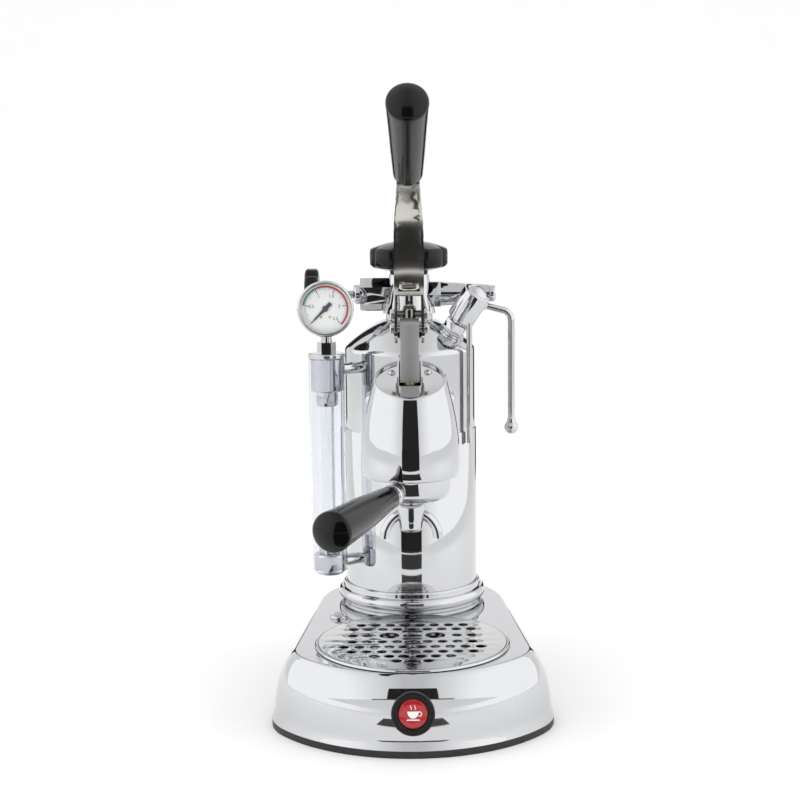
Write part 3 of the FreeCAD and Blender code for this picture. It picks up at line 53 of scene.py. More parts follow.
class Facing(Enum):
    """Where a turned piece's own upward axis points."""

    UP = "up"
    FRONT = "front"
    BACK = "back"
    RIGHT = "right"
    LEFT = "left"


TURNS = {
    Facing.UP: Matrix.Identity(4),
    Facing.FRONT: Matrix.Rotation(math.radians(90), 4, "X"),
    Facing.BACK: Matrix.Rotation(math.radians(-90), 4, "X"),
    Facing.RIGHT: Matrix.Rotation(math.radians(90), 4, "Y"),
    Facing.LEFT: Matrix.Rotation(math.radians(-90), 4, "Y"),
}


# ---------------------------------------------------------------- finishes

def add_node(material: bpy.types.Material, kind: str, **sockets: object) -> bpy.types.Node:
    """Adds a shader node and sets its input sockets.

    Args:
        material: the material whose tree gets the node.
        kind: the node's type name.
        sockets: input names (spaces as underscores) and their values.

    Returns:
        The new node.
    """
    node = material.node_tree.nodes.new(kind)
    for name, value in sockets.items():
        node.inputs[name.replace("_", " ")].default_value = value
    return node


MADE: dict[str, bpy.types.Material] = {}


@dataclass(frozen=True)
class Finish:
    """A surface finish with slightly uneven gloss, fine bumps and worn or smudged areas."""

    name: str
    colour: Point3
    worn_colour: Point3
    metallic: float
    roughness: tuple[float, float]
    bump: float = 0.02
    grain: float = 90.0
    stretch: Point3 = (1.0, 1.0, 1.0)
    wear: float = 0.25
    coat: float = 0.0
    clear: float = 0.0
    ior: float = 1.5
    glow: float = 0.0

    def make(self) -> bpy.types.Material:
        """Builds the material, or finds it if it is there already.

        Returns:
            The material.
        """
        if self.name in MADE:
            return MADE[self.name]
        material = bpy.data.materials.new(f"{self.name}_finish")
        MADE[self.name] = material
        material.use_nodes = True
        links = material.node_tree.links
        shader = material.node_tree.nodes["Principled BSDF"]
        shader.inputs["Metallic"].default_value = self.metallic
        shader.inputs["Coat Weight"].default_value = self.coat
        shader.inputs["Coat Roughness"].default_value = 0.04
        shader.inputs["Transmission Weight"].default_value = self.clear
        shader.inputs["IOR"].default_value = self.ior
        place = add_node(material, "ShaderNodeTexCoord")
        spread = add_node(material, "ShaderNodeMapping", Scale=self.stretch)
        links.new(place.outputs["Object"], spread.inputs["Vector"])
        smudge = add_node(material, "ShaderNodeTexNoise", Scale=14.0, Detail=6.0, Roughness=0.6)
        fine = add_node(material, "ShaderNodeTexNoise", Scale=self.grain * 10, Detail=4.0, Roughness=0.5)
        for texture in (smudge, fine):
            links.new(spread.outputs["Vector"], texture.inputs["Vector"])
        gloss = add_node(material, "ShaderNodeMapRange", From_Min=0.35, From_Max=0.7,
                         To_Min=self.roughness[0], To_Max=self.roughness[1])
        links.new(smudge.outputs["Fac"], gloss.inputs["Value"])
        links.new(gloss.outputs["Result"], shader.inputs["Roughness"])
        worn = add_node(material, "ShaderNodeMapRange", From_Min=0.5, From_Max=0.75, To_Min=0.0,
                        To_Max=self.wear)
        links.new(smudge.outputs["Fac"], worn.inputs["Value"])
        tint = add_node(material, "ShaderNodeMix")
        tint.data_type = "RGBA"
        tint.inputs[6].default_value = (*self.colour, 1.0)
        tint.inputs[7].default_value = (*self.worn_colour, 1.0)
        links.new(worn.outputs["Result"], tint.inputs[0])
        links.new(tint.outputs[2], shader.inputs["Base Color"])
        if self.glow:
            links.new(tint.outputs[2], shader.inputs["Emission Color"])
            shader.inputs["Emission Strength"].default_value = self.glow
        bump = add_node(material, "ShaderNodeBump", Strength=self.bump, Distance=0.0002)
        links.new(fine.outputs["Fac"], bump.inputs["Height"])
        links.new(bump.outputs["Normal"], shader.inputs["Normal"])
        return material


CHROME = Finish("chrome", (0.60, 0.605, 0.62), (0.54, 0.54, 0.55), 1.0, (0.02, 0.05), bump=0.006)
NICKEL = Finish("nickel", (0.60, 0.58, 0.535), (0.52, 0.50, 0.455), 1.0, (0.09, 0.16), bump=0.012)
STEEL = Finish("steel", (0.50, 0.505, 0.51), (0.42, 0.42, 0.42), 1.0, (0.12, 0.24), bump=0.03,
               stretch=(1.0, 6.0, 1.0))
MIRROR_PLATE = Finish("mirror_plate", (0.60, 0.605, 0.61), (0.52, 0.525, 0.53), 1.0, (0.05, 0.1), bump=0.01)
BRASS = Finish("brass", (0.66, 0.48, 0.22), (0.45, 0.32, 0.14), 1.0, (0.18, 0.32), bump=0.04)
BLACK = Finish("black_gloss", (0.003, 0.003, 0.0035), (0.008, 0.008, 0.008), 0.0, (0.10, 0.18), ior=1.36,
               bump=0.01)
SKIRT = Finish("black_skirt", (0.01, 0.01, 0.01), (0.03, 0.03, 0.03), 0.0, (0.4, 0.55), bump=0.1)
RUBBER = Finish("rubber", (0.015, 0.015, 0.015), (0.05, 0.05, 0.05), 0.0, (0.6, 0.8), bump=0.2)
RED = Finish("red_enamel", (0.42, 0.012, 0.016), (0.30, 0.02, 0.02), 0.0, (0.12, 0.2), coat=0.5)
GLASS = Finish("clear_glass", (0.97, 0.99, 0.985), (0.9, 0.93, 0.92), 0.0, (0.0, 0.02), bump=0.002,
               clear=1.0, ior=1.47)
GUARD = Finish("clear_guard", (0.90, 0.91, 0.94), (0.86, 0.87, 0.90), 0.0, (0.01, 0.05), bump=0.004,
               clear=1.0, ior=1.3)
LAMP = Finish("frosted_lamp", (0.86, 0.84, 0.80), (0.7, 0.68, 0.64), 0.0, (0.1, 0.25), clear=0.5)
DIAL = Finish("dial_white", (0.88, 0.88, 0.89), (0.84, 0.84, 0.85), 0.0, (0.35, 0.5), bump=0.01)
INK = Finish("dial_ink", (0.015, 0.015, 0.015), (0.05, 0.05, 0.05), 0.0, (0.4, 0.6))
GREEN_INK = Finish("green_ink", (0.03, 0.22, 0.07), (0.05, 0.25, 0.1), 0.0, (0.4, 0.6))
RED_INK = Finish("red_ink", (0.5, 0.02, 0.02), (0.45, 0.05, 0.05), 0.0, (0.4, 0.6))
CREAM = Finish("cream_enamel", (0.84, 0.83, 0.80), (0.76, 0.75, 0.72), 0.0, (0.12, 0.2), coat=0.4)
PAPER = Finish("paper", (0.90, 0.90, 0.90), (0.89, 0.89, 0.89), 0.0, (0.7, 0.8), bump=0.005)
DARK_CARD = Finish("dark_card", (0.004, 0.004, 0.004), (0.006, 0.006, 0.006), 0.0, (0.8, 0.9), bump=0.0)
PALE_CARD = Finish("pale_card", (0.80, 0.80, 0.80), (0.79, 0.79, 0.79), 0.0, (0.8, 0.9), bump=0.0, glow=0.12)
SATIN = Finish("satin_steel", (0.55, 0.56, 0.55), (0.48, 0.49, 0.48), 1.0, (0.38, 0.48), bump=0.03)
WATER = Finish("water", (0.92, 0.97, 0.98), (0.9, 0.95, 0.96), 0.0, (0.0, 0.01), clear=1.0, ior=1.33)


# ---------------------------------------------------------------- shapes

@dataclass
class Shape:
    """Corners and faces of a piece, in millimetres, gathered from several forms."""

    corners: list[Vector] = field(default_factory=list)
    faces: list[tuple[int, ...]] = field(default_factory=list)

    def add(self, corners: list[Vector], faces: list[tuple[int, ...]], place: Matrix | None = None) -> "Shape":
        """Adds one form.

        Args:
            corners: the form's corners.
            faces: its faces, as corner numbers.
            place: where it goes, or None to leave it.

        Returns:
            This shape.
        """
        start = len(self.corners)
        self.corners += [place @ corner if place else corner.copy() for corner in corners]
        self.faces += [tuple(start + index for index in face) for face in faces]
        return self

    def lathe(self, profile: list[Point2], place: Matrix | None = None, segments: int = 128,
              soft: float = 0.0, closed: bool = True) -> "Shape":
        """Turns a profile of (radius, height) points about the upward axis.

        Args:
            profile: the profile, its outside to the right of the direction of travel.
            place: where the turned form goes.
            segments: how many steps go round.
            soft: radius of the rounding of each corner.
            closed: whether the profile joins up with itself.

        Returns:
            This shape.
        """
        line = soften(profile, soft, closed) if soft else list(profile)
        corners: list[Vector] = []
        rings: list[list[int]] = []
        for radius, height in line:
            if radius < 1e-6:
                rings.append([len(corners)] * segments)
                corners.append(Vector((0, 0, height)))
                continue
            rings.append(list(range(len(corners), len(corners) + segments)))
            for step in range(segments):
                turn = 2 * math.pi * step / segments
                corners.append(Vector((radius * math.cos(turn), radius * math.sin(turn), height)))
        faces = []
        pairs = list(zip(rings, rings[1:]))
        if closed:
            pairs.append((rings[-1], rings[0]))
        for low, high in pairs:
            for step in range(segments):
                after = (step + 1) % segments
                loop = [low[step], low[after], high[after], high[step]]
                face = tuple(dict.fromkeys(loop))
                if len(face) > 2:
                    faces.append(face)
        return self.add(corners, faces, place)

    def tube(self, path: list[Vector], radius: float, segments: int = 32, bore: float = 0.0) -> "Shape":
        """Sweeps a round section along a path, closed at its ends or bored right through.

        Args:
            path: points of the centre line.
            radius: the tube's radius.
            segments: how many steps go round.
            bore: the inner radius, or 0 for a solid rod.

        Returns:
            This shape.
        """
        side = (path[1] - path[0]).orthogonal().normalized()
        corners: list[Vector] = []
        radii = (radius, bore) if bore else (radius,)
        for index, point in enumerate(path):
            before = path[max(index - 1, 0)]
            after = path[min(index + 1, len(path) - 1)]
            along = (after - before).normalized()
            side = (side - along * side.dot(along)).normalized()
            other = along.cross(side)
            for size in radii:
                for step in range(segments):
                    turn = 2 * math.pi * step / segments
                    corners.append(point + (side * math.cos(turn) + other * math.sin(turn)) * size)
        stride = segments * len(radii)
        faces = []
        for index in range(len(path) - 1):
            for ring in range(len(radii)):
                for step in range(segments):
                    a = index * stride + ring * segments + step
                    b = index * stride + ring * segments + (step + 1) % segments
                    loop = (a, b, b + stride, a + stride)
                    faces.append(loop if ring == 0 else loop[::-1])
        last = (len(path) - 1) * stride
        if bore:
            for step in range(segments):
                after = (step + 1) % segments
                faces.append((segments + step, segments + after, after, step))
                faces.append((last + step, last + after, last + segments + after, last + segments + step))
        else:
            faces.append(tuple(reversed(range(segments))))
            faces.append(tuple(range(last, last + segments)))
        return self.add(corners, faces)

    def prism(self, outline: list[Point2], low: float, high: float, place: Matrix | None = None) -> "Shape":
        """Raises a flat outline along the upward axis.

        Args:
            outline: (x, y) points, counter-clockwise.
            low: the lower height.
            high: the upper height.
            place: where the form goes.

        Returns:
            This shape.
        """
        count = len(outline)
        corners = [Vector((x, y, low)) for x, y in outline] + [Vector((x, y, high)) for x, y in outline]
        faces = [tuple(reversed(range(count))), tuple(range(count, 2 * count))]
        for step in range(count):
            after = (step + 1) % count
            faces.append((step, after, count + after, count + step))
        return self.add(corners, faces, place)


def soften(profile: list[Point2], radius: float, closed: bool = True, steps: int = 4) -> list[Point2]:
    """Rounds the corners of a profile.

    Args:
        profile: the points of the profile.
        radius: the rounding's size, made smaller where a side is short.
        closed: whether the profile joins up with itself.
        steps: how many short sides make each rounding.

    Returns:
        The points of the rounded profile.
    """
    result: list[Point2] = []
    count = len(profile)
    for index, (x, y) in enumerate(profile):
        here = Vector((x, y))
        if (not closed and index in (0, count - 1)) or x < 1e-6:
            result.append((x, y))
            continue
        before = Vector(profile[index - 1]) - here
        after = Vector(profile[(index + 1) % count]) - here
        if before.length < 1e-9 or after.length < 1e-9 or before.angle(after) > math.radians(168):
            result.append((x, y))
            continue
        reach = min(radius, before.length * 0.45, after.length * 0.45)
        start = here + before.normalized() * reach
        end = here + after.normalized() * reach
        for step in range(steps + 1):
            share = step / steps
            bend = start.lerp(here, share).lerp(here.lerp(end, share), share)
            result.append((bend.x, bend.y))
    return result


def curve(points: list[Point2], steps: int = 8) -> list[Point2]:
    """Draws a smooth line through points.

    Args:
        points: the points that the line goes through.
        steps: how many short sides go between two points.

    Returns:
        The points of the smooth line.
    """
    line: list[Point2] = []
    for index in range(len(points) - 1):
        p0 = Vector(points[max(index - 1, 0)])
        p1 = Vector(points[index])
        p2 = Vector(points[index + 1])
        p3 = Vector(points[min(index + 2, len(points) - 1)])
        for step in range(steps):
            t = step / steps
            point = 0.5 * (2 * p1 + (p2 - p0) * t + (2 * p0 - 5 * p1 + 4 * p2 - p3) * t * t
                           + (3 * p1 - p0 - 3 * p2 + p3) * t ** 3)
            line.append((point.x, point.y))
    line.append(points[-1])
    return line


def arc(start: Point2, end: Point2, radius: float, steps: int = 24) -> list[Point2]:
    """Points of an arc between two points; it bulges to the right of its direction, or left if negative.

    Args:
        start: the first point.
        end: the last point.
        radius: the arc's radius.
        steps: how many short sides it has.

    Returns:
        The points, both ends included.
    """
    a, b = Vector(start), Vector(end)
    chord = b - a
    side = Vector((-chord.y, chord.x)).normalized()
    rise = math.sqrt(max(radius * radius - chord.length_squared / 4, 0))
    centre = (a + b) / 2 + side * (rise if radius > 0 else -rise)
    first = math.atan2(a.y - centre.y, a.x - centre.x)
    last = math.atan2(b.y - centre.y, b.x - centre.x)
    if radius > 0 and last < first:
        last += 2 * math.pi
    if radius < 0 and last > first:
        last -= 2 * math.pi
    size = abs(radius)
    return [(centre.x + size * math.cos(first + (last - first) * i / steps),
             centre.y + size * math.sin(first + (last - first) * i / steps)) for i in range(steps + 1)]


def place_at(at: Point3, facing: Facing = Facing.UP) -> Matrix:
    """A placement: a position, and where the piece's axis points.

    Args:
        at: the position.
        facing: the axis' direction.

    Returns:
        The placement.
    """
    return Matrix.Translation(at) @ TURNS[facing]


def aimed(at: Point3, direction: Vector) -> Matrix:
    """A placement whose upward axis points in any direction.

    Args:
        at: the position.
        direction: where the upward axis points.

    Returns:
        The placement.
    """
    return Matrix.Translation(at) @ direction.to_track_quat("Z", "Y").to_matrix().to_4x4()


def ring(radius: float, count: int, centre: Point2 = (0, 0), turn: float = 0.0) -> list[Point2]:
    """Points round a circle.

    Args:
        radius: the circle's radius.
        count: how many points.
        centre: the circle's centre.
        turn: the first point's angle, in degrees.

    Returns:
        The points, counter-clockwise.
    """
    start = math.radians(turn)
    return [(centre[0] + radius * math.cos(start + 2 * math.pi * i / count),
             centre[1] + radius * math.sin(start + 2 * math.pi * i / count)) for i in range(count)]


def finish_piece(name: str, shape: Shape, finish: Finish, body: str, stands_for: tuple[str, ...] = (),
                 sharp: float = 40.0, bevel: float = 0.0,
                 cutters: tuple[Shape, ...] = ()) -> bpy.types.Object:
    """Makes a shown piece from a shape.

    Args:
        name: the piece's name.
        shape: its corners and faces.
        finish: its surface.
        body: the moving body that it rides on.
        stands_for: the frame's nodes that it is shown in place of.
        sharp: the angle above which an edge stays crisp, in degrees.
        bevel: the width of the rounding of crisp edges.
        cutters: shapes that are taken out of it.

    Returns:
        The piece.
    """
    piece = to_object(name, shape)
    for number, cutter in enumerate(cutters):
        tool = to_object(f"{name}.cutter{number}", cutter)
        change = piece.modifiers.new("cut", "BOOLEAN")
        change.object = tool
        change.operation = "DIFFERENCE"
        change.solver = "EXACT"
        apply_changes(piece)
        bpy.data.objects.remove(tool)
    if bevel:
        change = piece.modifiers.new("edge", "BEVEL")
        change.width = bevel * MM
        change.segments = 3
        change.limit_method = "ANGLE"
        change.angle_limit = math.radians(sharp)
        change.use_clamp_overlap = True
        apply_changes(piece)
    piece.data.shade_smooth()
    piece.data.set_sharp_from_angle(angle=math.radians(sharp))
    piece.data.materials.clear()
    piece.data.materials.append(finish.make())
    if finish.clear > 0.9:
        piece.visible_shadow = False
        piece.visible_diffuse = False
    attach(piece, body)
    if stands_for:
        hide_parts(*stands_for)
    log.info("%s: %d faces, %s", name, len(piece.data.polygons), finish.name)
    return piece


def to_object(name: str, shape: Shape) -> bpy.types.Object:
    """Turns a shape into an object, in metres, with its faces turned outward.

    Args:
        name: the object's name.
        shape: its corners and faces.

    Returns:
        The object.
    """
    mesh = bpy.data.meshes.new(name)
    work = bmesh.new()
    corners = [work.verts.new(corner * MM) for corner in shape.corners]
    for face in shape.faces:
        try:
            work.faces.new([corners[index] for index in face])
        except ValueError:
            continue
    bmesh.ops.remove_doubles(work, verts=work.verts, dist=1e-7)
    bmesh.ops.recalc_face_normals(work, faces=work.faces)
    work.to_mesh(mesh)
    work.free()
    made = bpy.data.objects.new(name, mesh)
    bpy.context.scene.collection.objects.link(made)
    return made


def apply_changes(piece: bpy.types.Object) -> None:
    """Makes a piece's modifiers part of its mesh.

    Args:
        piece: the piece.
    """
    bpy.context.view_layer.update()
    seen = piece.evaluated_get(bpy.context.evaluated_depsgraph_get())
    mesh = bpy.data.meshes.new_from_object(seen)
    piece.modifiers.clear()
    piece.data = mesh


def dress(node: str, finish: Finish) -> None:
    """Gives one of the frame's own nodes its finish.

    Args:
        node: the node's name.
        finish: its surface.
    """
    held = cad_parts[node]
    held.data.materials.clear()
    held.data.materials.append(finish.make())
    log.info("%s: %s", node, finish.name)


# ---------------------------------------------------------------- base and tray

@dataclass
class Base:
    """The chromed base with its black skirt, badge, lamp and the fittings at its back."""

    width: float = 198.0
    depth: float = 290.0
    skirt: float = 5.0
    front_arc: float = 110.5
    corner_arc: float = 50.0
    rear_arc: float = 86.0
    tray: tuple[float, float] = (-62.9, 63.3)
    boiler: tuple[float, float] = (63.0, 50.4)
    section: tuple[Point2, ...] = ((0, 5), (1.75, 11.9), (2.45, 18.2), (3.85, 27.05), (5.95, 35.4),
                                   (9.6, 44.2), (13.8, 50.6), (16.0, 52.9), (17.3, 53.8), (18.6, 54.0))

    def outline(self, inset: float, steps: int = 48) -> list[Point2]:
        """The base's plan, drawn in by an inset.

        Args:
            inset: how far it is drawn in.
            steps: how many points each arc has.

        Returns:
            The points, counter-clockwise from the front.
        """
        half = self.width / 2
        front_y = self.front_arc - self.depth / 2
        corner_x = half - self.corner_arc
        corner_y = front_y - math.sqrt((self.front_arc - self.corner_arc) ** 2 - corner_x ** 2)
        rear_y = self.depth / 2 - self.rear_arc
        run = math.hypot(corner_x, rear_y - corner_y)
        lean = math.atan2(rear_y - corner_y, -corner_x) - math.acos((self.corner_arc - self.rear_arc) / run)
        meet = math.atan2(corner_y - front_y, corner_x)
        line: list[Point2] = []
        for y, x, radius, first, last in (
            (front_y, 0.0, self.front_arc, -math.pi / 2, meet),
            (corner_y, corner_x, self.corner_arc, meet, lean),
            (rear_y, 0.0, self.rear_arc, lean, math.pi / 2),
        ):
            for step in range(steps):
                turn = first + (last - first) * step / steps
                line.append((x + (radius - inset) * math.cos(turn),
                             y + (radius - inset) * math.sin(turn) - 0.23 * inset))
        tail = self.depth / 2 - inset - 0.23 * inset
        mirrored = [(-x, y) for x, y in reversed(line[1:])]
        return line + [(0.0, tail)] + mirrored

    def build(self) -> None:
        """Builds the shell with a fine wall and a flat deck, open at the tray and the boiler."""
        shell = Shape()
        rings = [self.outline(inset) for inset, _ in curve(list(self.section), 5)]
        heights = [height for _, height in curve(list(self.section), 5)]
        count = len(rings[0])
        corners = [Vector((x, y, z)) for line, z in zip(rings, heights) for x, y in line]
        faces = []
        for level in range(len(rings) - 1):
            for step in range(count):
                after = (step + 1) % count
                a, b = level * count + step, level * count + after
                faces.append((a, b, b + count, a + count))
        shell.add(corners, faces)
        deck = self.deck(rings[-1])
        shell.add(*deck)
        inner = Shape().add(corners, faces)
        for corner in inner.corners:
            corner.x *= 0.975
            corner.y *= 0.98
            corner.z = 5.0 + (corner.z - 5.0) * 0.96
        shell.add(inner.corners, inner.faces)
        finish_piece("base_shell_fine", shell, CHROME, "machine", ("base_shell",), sharp=50)
        dress("base_skirt", SKIRT)
        for node in ("switch_housing", "switch_rocker", "mains_inlet"):
            dress(node, BLACK)

    def deck(self, edge: list[Point2]) -> tuple[list[Vector], list[tuple[int, ...]]]:
        """The flat top, with round openings.

        Args:
            edge: the top's outer edge.

        Returns:
            Its corners and faces.
        """
        outline = bpy.data.curves.new("deck", "CURVE")
        outline.dimensions = "2D"
        outline.fill_mode = "BOTH"
        loops = [edge]
        for centre, radius in (self.tray, self.boiler):
            loops.append(ring(radius, 128, (0, centre)))
        loops.append(ring(5.4, 32, (-54.5, 4.0)))
        for loop in loops:
            line = outline.splines.new("POLY")
            line.points.add(len(loop) - 1)
            for point, (x, y) in zip(line.points, loop):
                point.co = (x, y, 0, 1)
            line.use_cyclic_u = True
        carrier = bpy.data.objects.new("deck", outline)
        mesh = bpy.data.meshes.new_from_object(carrier)
        corners = [Vector((v.co.x, v.co.y, 54.0)) for v in mesh.vertices]
        faces = [tuple(face.vertices) for face in mesh.polygons]
        bpy.data.objects.remove(carrier)
        return corners, faces

    def dress(self) -> None:
        """Builds the badge and the pilot lamp."""
        lean = math.radians(90 - 11)
        badge = Matrix.Translation((0, -137.4, 29.0)) @ Matrix.Rotation(lean, 4, "X")
        bezel = Shape().lathe([(9.7, 0.5), (9.7, 5.4), (10.9, 7.0), (13.6, 7.0), (14.6, 5.8), (14.6, 3.0),
                               (13.1, 2.6), (13.1, 0.5)], badge, 96, soft=0.6)
        finish_piece("badge_bezel_fine", bezel, BLACK, "machine", ("badge_bezel",))
        disc = Shape().lathe([(0, 0.4), (9.68, 0.4), (9.68, 5.1), (9.2, 5.35), (5, 5.6), (0, 5.7)], badge, 96,
                             closed=False)
        finish_piece("badge_disc_fine", disc, RED, "machine", ("badge_disc",))
        self.emblem(badge)
        lamp = Matrix.Translation((-54.5, 4.0, 54.0))
        collar = Shape().lathe([(4.1, -6), (5.3, -6), (5.3, 0), (6.5, 0), (6.5, 1.6), (5.7, 2.4), (4.1, 2.4)],
                               lamp, 64, soft=0.3)
        finish_piece("lamp_bezel_fine", collar, CHROME, "machine", ("lamp_bezel",))
        dome = [(4.1 * math.sin(math.radians(a)), 2.4 + 2.2 * math.cos(math.radians(a)))
                for a in range(90, -1, -10)]
        lens = Shape().lathe([(0, -6), (4.08, -6)] + dome, lamp, 64, closed=False)
        finish_piece("lamp_lens_fine", lens, LAMP, "machine", ("lamp_lens",))

    def emblem(self, badge: Matrix) -> None:
        """Builds the badge's plain sign, a small cup on its saucer.

        Args:
            badge: the badge's placement, its face towards local +Z.
        """
        bowl = [(3.8 * math.cos(math.radians(a)), 1.7 + 4.6 * math.sin(math.radians(a))) for a in range(180, 361, 12)]
        sign = Shape().prism(bowl, 5.2, 5.85, badge)
        sign.prism([(-4.6, -4.3), (4.6, -4.3), (3.9, -3.5), (-3.9, -3.5)], 5.2, 5.8, badge)
        handle = [badge @ Vector((4.1 + 1.5 * math.cos(math.radians(a)), 0.1 + 1.4 * math.sin(math.radians(a)), 5.5))
                  for a in range(-110, 111, 10)]
        sign.tube(handle, 0.35, 12)
        for x in (-1.4, 1.4):
            curl = [badge @ Vector((x + 0.4 * math.sin(step * 1.2), 2.9 + step * 0.55, 5.45)) for step in range(6)]
            sign.tube(curl, 0.3, 12)
        finish_piece("badge_sign", sign, CREAM, "machine", ())


@dataclass
class DripTray:
    """The drip tray with its perforated grille."""

    centre: Point3 = (0, -62.9, 0)
    radius: float = 68.6
    grille: float = 66.2
    hole: float = 3.6
    pitch: float = 10.55
    large: tuple[float, float, float] = (7.2, 16.3, 12.0)
    rows: tuple[tuple[float, int], ...] = ((38, 8), (27.5, 9), (12, 9), (-3, 9), (-15.3, 10), (-26.5, 9),
                                           (-37, 6), (-47.5, 3))

    def build(self) -> None:
        """Builds the tray and the grille."""
        place = Matrix.Translation(self.centre)
        tray = Shape().lathe([
            (0, 24), (60, 24), (63, 27), (63, 54.3), (68.2, 54.3), (68.6, 54.8), (68.1, 56.2), (66.5, 56.2),
            (66.5, 55.0), (61.8, 55.0), (61.8, 27.5), (59.5, 25.2), (0, 25.2)], place, 192, soft=0.7)
        finish_piece("drip_tray_fine", tray, CHROME, "tray", ("drip_tray",))
        finish_piece("drip_grille_fine", self.plate(), MIRROR_PLATE, "grille", ("drip_grille",),
                     sharp=30, bevel=0.25)

    def holes(self) -> list[tuple[float, float, float]]:
        """Every hole of the grille.

        Returns:
            The holes, as (x, y, radius) about the grille's centre.
        """
        found = []
        for row, (behind, count) in enumerate(self.rows):
            for index in range(count):
                steps = index - (count - 1) / 2
                if row == 2 and 1 <= abs(steps) <= 2:
                    continue
                found.append((self.pitch * steps, behind, self.hole))
        radius, spread, behind = self.large
        return found + [(-spread, behind, radius), (spread, behind, radius)]

    def plate(self) -> Shape:
        """The grille's plate with its holes.

        Returns:
            The shape.
        """
        outline = bpy.data.curves.new("grille", "CURVE")
        outline.dimensions = "2D"
        outline.fill_mode = "BOTH"
        outline.extrude = 0.5
        loops = [ring(self.grille - 0.05, 192)]
        for x, y, radius in self.holes():
            loops.append(ring(radius, 36, (x, y)))
        for loop in loops:
            line = outline.splines.new("POLY")
            line.points.add(len(loop) - 1)
            for point, (x, y) in zip(line.points, loop):
                point.co = (x, y, 0, 1)
            line.use_cyclic_u = True
        carrier = bpy.data.objects.new("grille", outline)
        mesh = bpy.data.meshes.new_from_object(carrier)
        lift = Vector((self.centre[0], self.centre[1], 55.8))
        corners = [v.co + lift for v in mesh.vertices]
        faces = [tuple(face.vertices) for face in mesh.polygons]
        bpy.data.objects.remove(carrier)
        return Shape().add(corners, faces)


# ---------------------------------------------------------------- boiler and what stands on it

@dataclass
class Boiler:
    """The boiler's shells, collar, filler neck, heating element and floor."""

    centre: Point3 = (0, 63, 0)
    lower: float = 50.3
    upper: float = 49.3
    seam: float = 188.5
    shoulder: float = 247.5
    dome: float = 270.5

    def build(self) -> None:
        """Builds the boiler."""
        place = Matrix.Translation(self.centre)
        collar = Shape().lathe([(50.35, 54), (52.8, 54), (52.8, 56.6)] + arc((54.5, 57), (54.5, 65), 5, 16)
                               + [(52.3, 65.6), (52.3, 69.2), (51.5, 70), (50.35, 70)], place, 192, soft=0.5)
        finish_piece("boiler_collar_fine", collar, CHROME, "machine", ("boiler_collar",))
        lower = Shape().lathe([(48.8, 48), (58, 48), (58, 52), (50.3, 52), (50.3, 188.0), (50.0, 188.5),
                               (48.8, 188.5)], place, 192)
        finish_piece("boiler_lower_fine", lower, CHROME, "machine", ("boiler_lower",))
        outer = (arc((49.3, 247.5), (47.6, 251.5), 5.6, 8) + arc((47.6, 251.5), (19.8, 270.5), 100, 32)[1:])
        inner = [(radius - 1.4 if radius > 20 else radius, height - 1.3) for radius, height in reversed(outer)]
        upper = Shape().lathe([(47.8, 188.5), (49.3, 188.5)] + outer + [(10.5, 270.5), (10.5, 269.0)] + inner,
                              place, 192)
        upper.lathe([(4.1, -3), (10.2, -3), (10.2, 1), (4.1, 1)], SafetyValve.place(), 64, soft=0.3)
        saddle = Shape()
        plate = flange_outline()
        saddle.prism(plate, -36, -10, Matrix.Translation((0, 0, 217.5)) @ TURNS[Facing.FRONT])
        core = Shape().prism(ring(48.6, 160, (0, 63)), 180, 250)
        finish_piece("boiler_saddle", saddle, CHROME, "machine", (), bevel=0.7, cutters=(core,))
        finish_piece("boiler_upper_fine", upper, CHROME, "machine", ("boiler_upper",), sharp=35)
        neck = Shape().lathe([(10.5, 270.5), (17.6, 270.5), (17.6, 274.5), (19.8, 275.3), (14.7, 305),
                              (10.5, 305)], place, 128, soft=0.4)
        finish_piece("boiler_neck_fine", neck, CHROME, "machine", ("boiler_neck",))
        dress("boiler_floor", STEEL)
        dress("heating_element", STEEL)


def flange_outline() -> list[Point2]:
    """The oval outline of the group's flange and the boiler's saddle.

    Returns:
        The points, counter-clockwise.
    """
    right = arc((28, -6), (28, 6), 6.3, 20) + arc((9, 13), (-9, 13), 20, 12)
    return right + arc((-28, 6), (-28, -6), 6.3, 20) + arc((-9, -13), (9, -13), 20, 12)


@dataclass
class FillerCap:
    """The black lobed cap with its plug and washer."""

    centre: Point3 = (0, 63, 0)
    lobes: int = 8
    radius: float = 29.4
    depth: float = 2.4
    low: float = 307.6

    def build(self) -> None:
        """Builds the cap, its plug and its washer."""
        place = Matrix.Translation(self.centre)
        profile = soften([(0, 0), (17, 0), (19.4, 0.8), (27.4, 2.6), (29.4, 4.6), (29.4, 15.4), (28.2, 16.8)]
                         + arc((28.2, 16.8), (0, 22.4), 73.8, 24)[1:], 1.0, False)
        finish_piece("cap_knob_fine", lobed(profile, self.lobes, self.depth, 20.0,
                                            Matrix.Translation((0, 0, self.low)) , place),
                     BLACK, "cap", ("cap_knob",), sharp=50)
        dress("cap_plug", BRASS)
        washer = Shape().lathe([(10.5, 305.3), (14.3, 305.3), (14.3, 307.3), (10.5, 307.3)], place, 64, soft=0.4)
        finish_piece("cap_gasket_fine", washer, RUBBER, "cap_washer", ("cap_gasket",))


